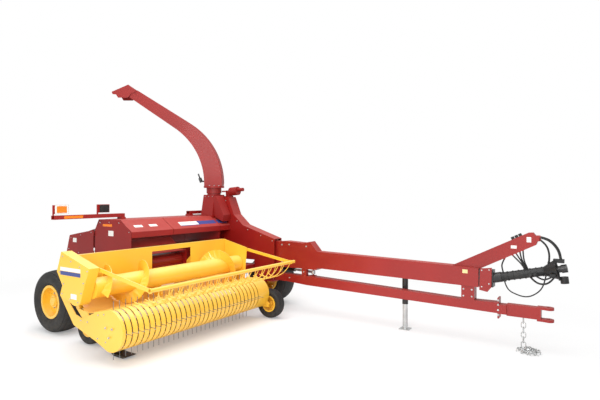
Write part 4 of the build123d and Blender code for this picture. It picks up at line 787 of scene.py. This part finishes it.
# %% Hang and heap the chain
HANGING, HANG_STEP, HANG_TOP = 6, 54, (990, -3752, 352)
HEAPED, HEAP_MIDDLE, HEAP_STRETCH = 26, (975, -3812), 1.25
HEAP_TURN, HEAP_START, HEAP_GROWTH = 0.81, 18, 3.2
HEAP_FOOT, HEAP_RISE, HEAP_WIDE = 13, 24, 90
TILT = 0.15
QUARTER = math.pi / 2


def chain(bm):
    random.seed(7)
    x, y, z = HANG_TOP
    for k in range(HANGING):
        link_ring(bm, (x, y - (k % 2), z - HANG_STEP * k), (0, 0, 1), QUARTER * (k % 2))
    for k in range(HEAPED):
        turn, reach = k * HEAP_TURN, HEAP_START + k * HEAP_GROWTH
        c, s = math.cos(turn), math.sin(turn)
        height = HEAP_FOOT + HEAP_RISE * max(0, 1 - reach / HEAP_WIDE) * (k % 3)
        spot = (HEAP_MIDDLE[0] + reach * c, HEAP_MIDDLE[1] + HEAP_STRETCH * reach * s, height)
        link_ring(bm, spot, (-s, c, 0), random.uniform(-TILT, TILT) + QUARTER)


links = small("chain_links", "safety_chain", ZINC, chain)
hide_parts("safety_chain")
print("chain made of", len(links.data.vertices), "points")

# %% [markdown]
# ## Screws on the pickup's bands
# Each band of the pickup is a bent strip, and a screw in the middle of its top holds it.

# %% Band screws
FIRST_BAND_X, BAND_STEP, BANDS = -1807, 72.3, 29
BAND_TOP = (-200, 543)
small("band_screws", "pickup_bands", ZINC, lambda bm: [
    bolt(bm, (FIRST_BAND_X + BAND_STEP * (k + 0.5), *BAND_TOP), (0, 0.25, 1), 6)
    for k in range(BANDS)
])
print("band screws:", BANDS)

# %% [markdown]
# ## The spout's folded edges
# Each side of the spout ends in a folded edge. It is made of short rods from place to place
# along the spout's bend and then along its straight run.

# %% Spout edges
HEADING = math.radians(33.7)
SPOUT_FOOT_Z = 1940
EDGE_SIDE, EDGE_R = 106, 5
BEND_STEPS, RUN_STEPS = 26, 17


def on_spout(u, z, side_step=0.0):
    """A place in the spout's own upright plane: u is out along its run."""
    return (
        SPOUT_AXIS[0] - math.sin(HEADING) * u + math.cos(HEADING) * side_step,
        SPOUT_AXIS[1] + math.cos(HEADING) * u + math.sin(HEADING) * side_step, z,
    )


def spout_edge():
    """Places along the spout's outer edge: how far out, and how high."""
    base_u, bend_r, turn, run = -145, 1165, 58, 960
    found = []
    for k in range(BEND_STEPS):
        a = math.radians(turn * k / (BEND_STEPS - 1))
        found.append((base_u + bend_r * (1 - math.cos(a)), SPOUT_FOOT_Z + bend_r * math.sin(a)))
    u, z = found[-1]
    for k in range(RUN_STEPS):
        step = run * (k + 1) / RUN_STEPS
        found.append((u + step * math.sin(a), z + step * math.cos(a)))
    return found


def edge_strips(bm):
    for side_step in (-EDGE_SIDE, EDGE_SIDE):
        for (u, z), (u2, z2) in zip(spout_edge(), spout_edge()[1:]):
            middle = on_spout((u + u2) / 2, (z + z2) / 2, side_step)
            way = Vector(on_spout(u2, z2, side_step)) - Vector(on_spout(u, z, side_step))
            rod_length = way.length + 1
            foot = Vector(middle) - way.normalized() * rod_length / 2
            disc(bm, tuple(foot), way, EDGE_R, rod_length, 8, 0.2)


small("spout_edges", "spout", DEEP_RED, edge_strips)
print("spout edges made in", 2 * (len(spout_edge()) - 1), "rods")

# %% [markdown]
# ## Collars and valves
# The driveline's guard is ribbed with black collars along its slope. The arm that holds the
# hoses carries three pairs of black valve blocks, square to its upper edge.

# %% Collars and valves
GUARD_WAY = (0, -0.974, 0.228)
GUARD_START = (1010, -3526, 814)
COLLARS = (8, 60, 120, 180, 240, 300, 360, 420)
small("guard_collars", "driveline_guard", BLACK_PLASTIC, lambda bm: [
    disc(
        bm, [start + way * reach for start, way in zip(GUARD_START, GUARD_WAY)], GUARD_WAY,
        54, 14, 40, 2,
    )
    for reach in COLLARS
])
ARM_UP = (0, 0.455, 0.891)
small("arm_valves", "hose_arm", BLACK_PLASTIC, lambda bm: [
    bar(bm, (1010 + off, -3640 - 38 * k, 1262 + 19.4 * k), (18, 30, 34), ARM_UP, 2)
    for k in range(3) for off in (-14, 14)
])

# %% [markdown]
# ## The studio
# A white floor that fades into white: near the machine it is an ordinary matte floor that
# takes its shadow, and further out it turns into plain white light for the camera only.

# %% Floor
FLOOR_HALF = 40
FADE_FROM, FADE_TO = 2.6, 6.0
paler = Finish("studio_floor", Roughness=0.9, Specular_IOR_Level=0.1, Base_Color=(0.9, 0.9, 0.9, 1))
middle = at(-300, 0, 0)
x, y, _ = paler.split(paler.place)
away = ((x - middle.x).power(2.0) + (y - middle.y).power(2.0)).power(0.5)
white = paler.node("ShaderNodeEmission", {}, {"Strength": 1.0})
seen = paler.node("ShaderNodeLightPath", {}, {}, "Is Camera Ray")
fade = away.sharp(FADE_FROM, FADE_TO) * 0.75 + 0.25
blend = paler.node("ShaderNodeMixShader", {}, {0: fade * seen, 1: paler.shaded, 2: white})
paler.feed(paler.out.inputs["Surface"], blend)

floor_at = at(0, 0, 0).z - 0.0005
corners = [(FLOOR_HALF * x, FLOOR_HALF * y, floor_at) for x, y in ((-1, -1), (1, -1), (1, 1), (-1, 1))]
floor_mesh = bpy.data.meshes.new("floor")
floor_mesh.from_pydata(corners, [], [(0, 1, 2, 3)])
floor_mesh.materials.append(paler.material)
floor = bpy.data.objects.new("floor", floor_mesh)
bpy.context.collection.objects.link(floor)
print("floor at", round(floor_at, 4))

# %% [markdown]
# ## Light
# A soft white sky lights everything evenly, and the camera sees it as pure white. Two large
# soft boxes add the shade below the machine and the gleam on its right side.

# %% Light
WORLD_STRENGTH = 0.62
world = bpy.data.worlds.new("studio")
bpy.context.scene.world = world
sky = Tree(world)
lit = sky.node("ShaderNodeBackground", {}, {"Color": (1, 1, 1, 1), "Strength": WORLD_STRENGTH})
clear = sky.node("ShaderNodeBackground", {}, {"Color": (1, 1, 1, 1), "Strength": 1.0})
from_camera = sky.node("ShaderNodeLightPath", {}, {}, "Is Camera Ray")
through_glass = sky.node("ShaderNodeLightPath", {}, {}, "Is Transmission Ray")
either = from_camera.math("MAXIMUM", through_glass)
shown_sky = sky.node("ShaderNodeMixShader", {}, {0: either, 1: lit, 2: clear})
sky.node("ShaderNodeOutputWorld", {}, {"Surface": shown_sky})


def softbox(name, place, target, size, watts):
    """A large lamp that shines from one place to another."""
    data = bpy.data.lights.new(name, "AREA")
    data.shape = "RECTANGLE"
    data.size, data.size_y = size
    data.energy = watts
    lamp = bpy.data.objects.new(name, data)
    bpy.context.collection.objects.link(lamp)
    lamp.location = place
    lamp.rotation_euler = (Vector(target) - Vector(place)).to_track_quat("-Z", "Y").to_euler()


aim = at(0, -200, 900)
softbox("overhead", at(-500, -500, 6500), aim, (7, 7), 420)
softbox("key", at(-6500, -3500, 3800), aim, (4, 3), 300)
bpy.context.scene.view_settings.view_transform = "Standard"
print("studio ready")
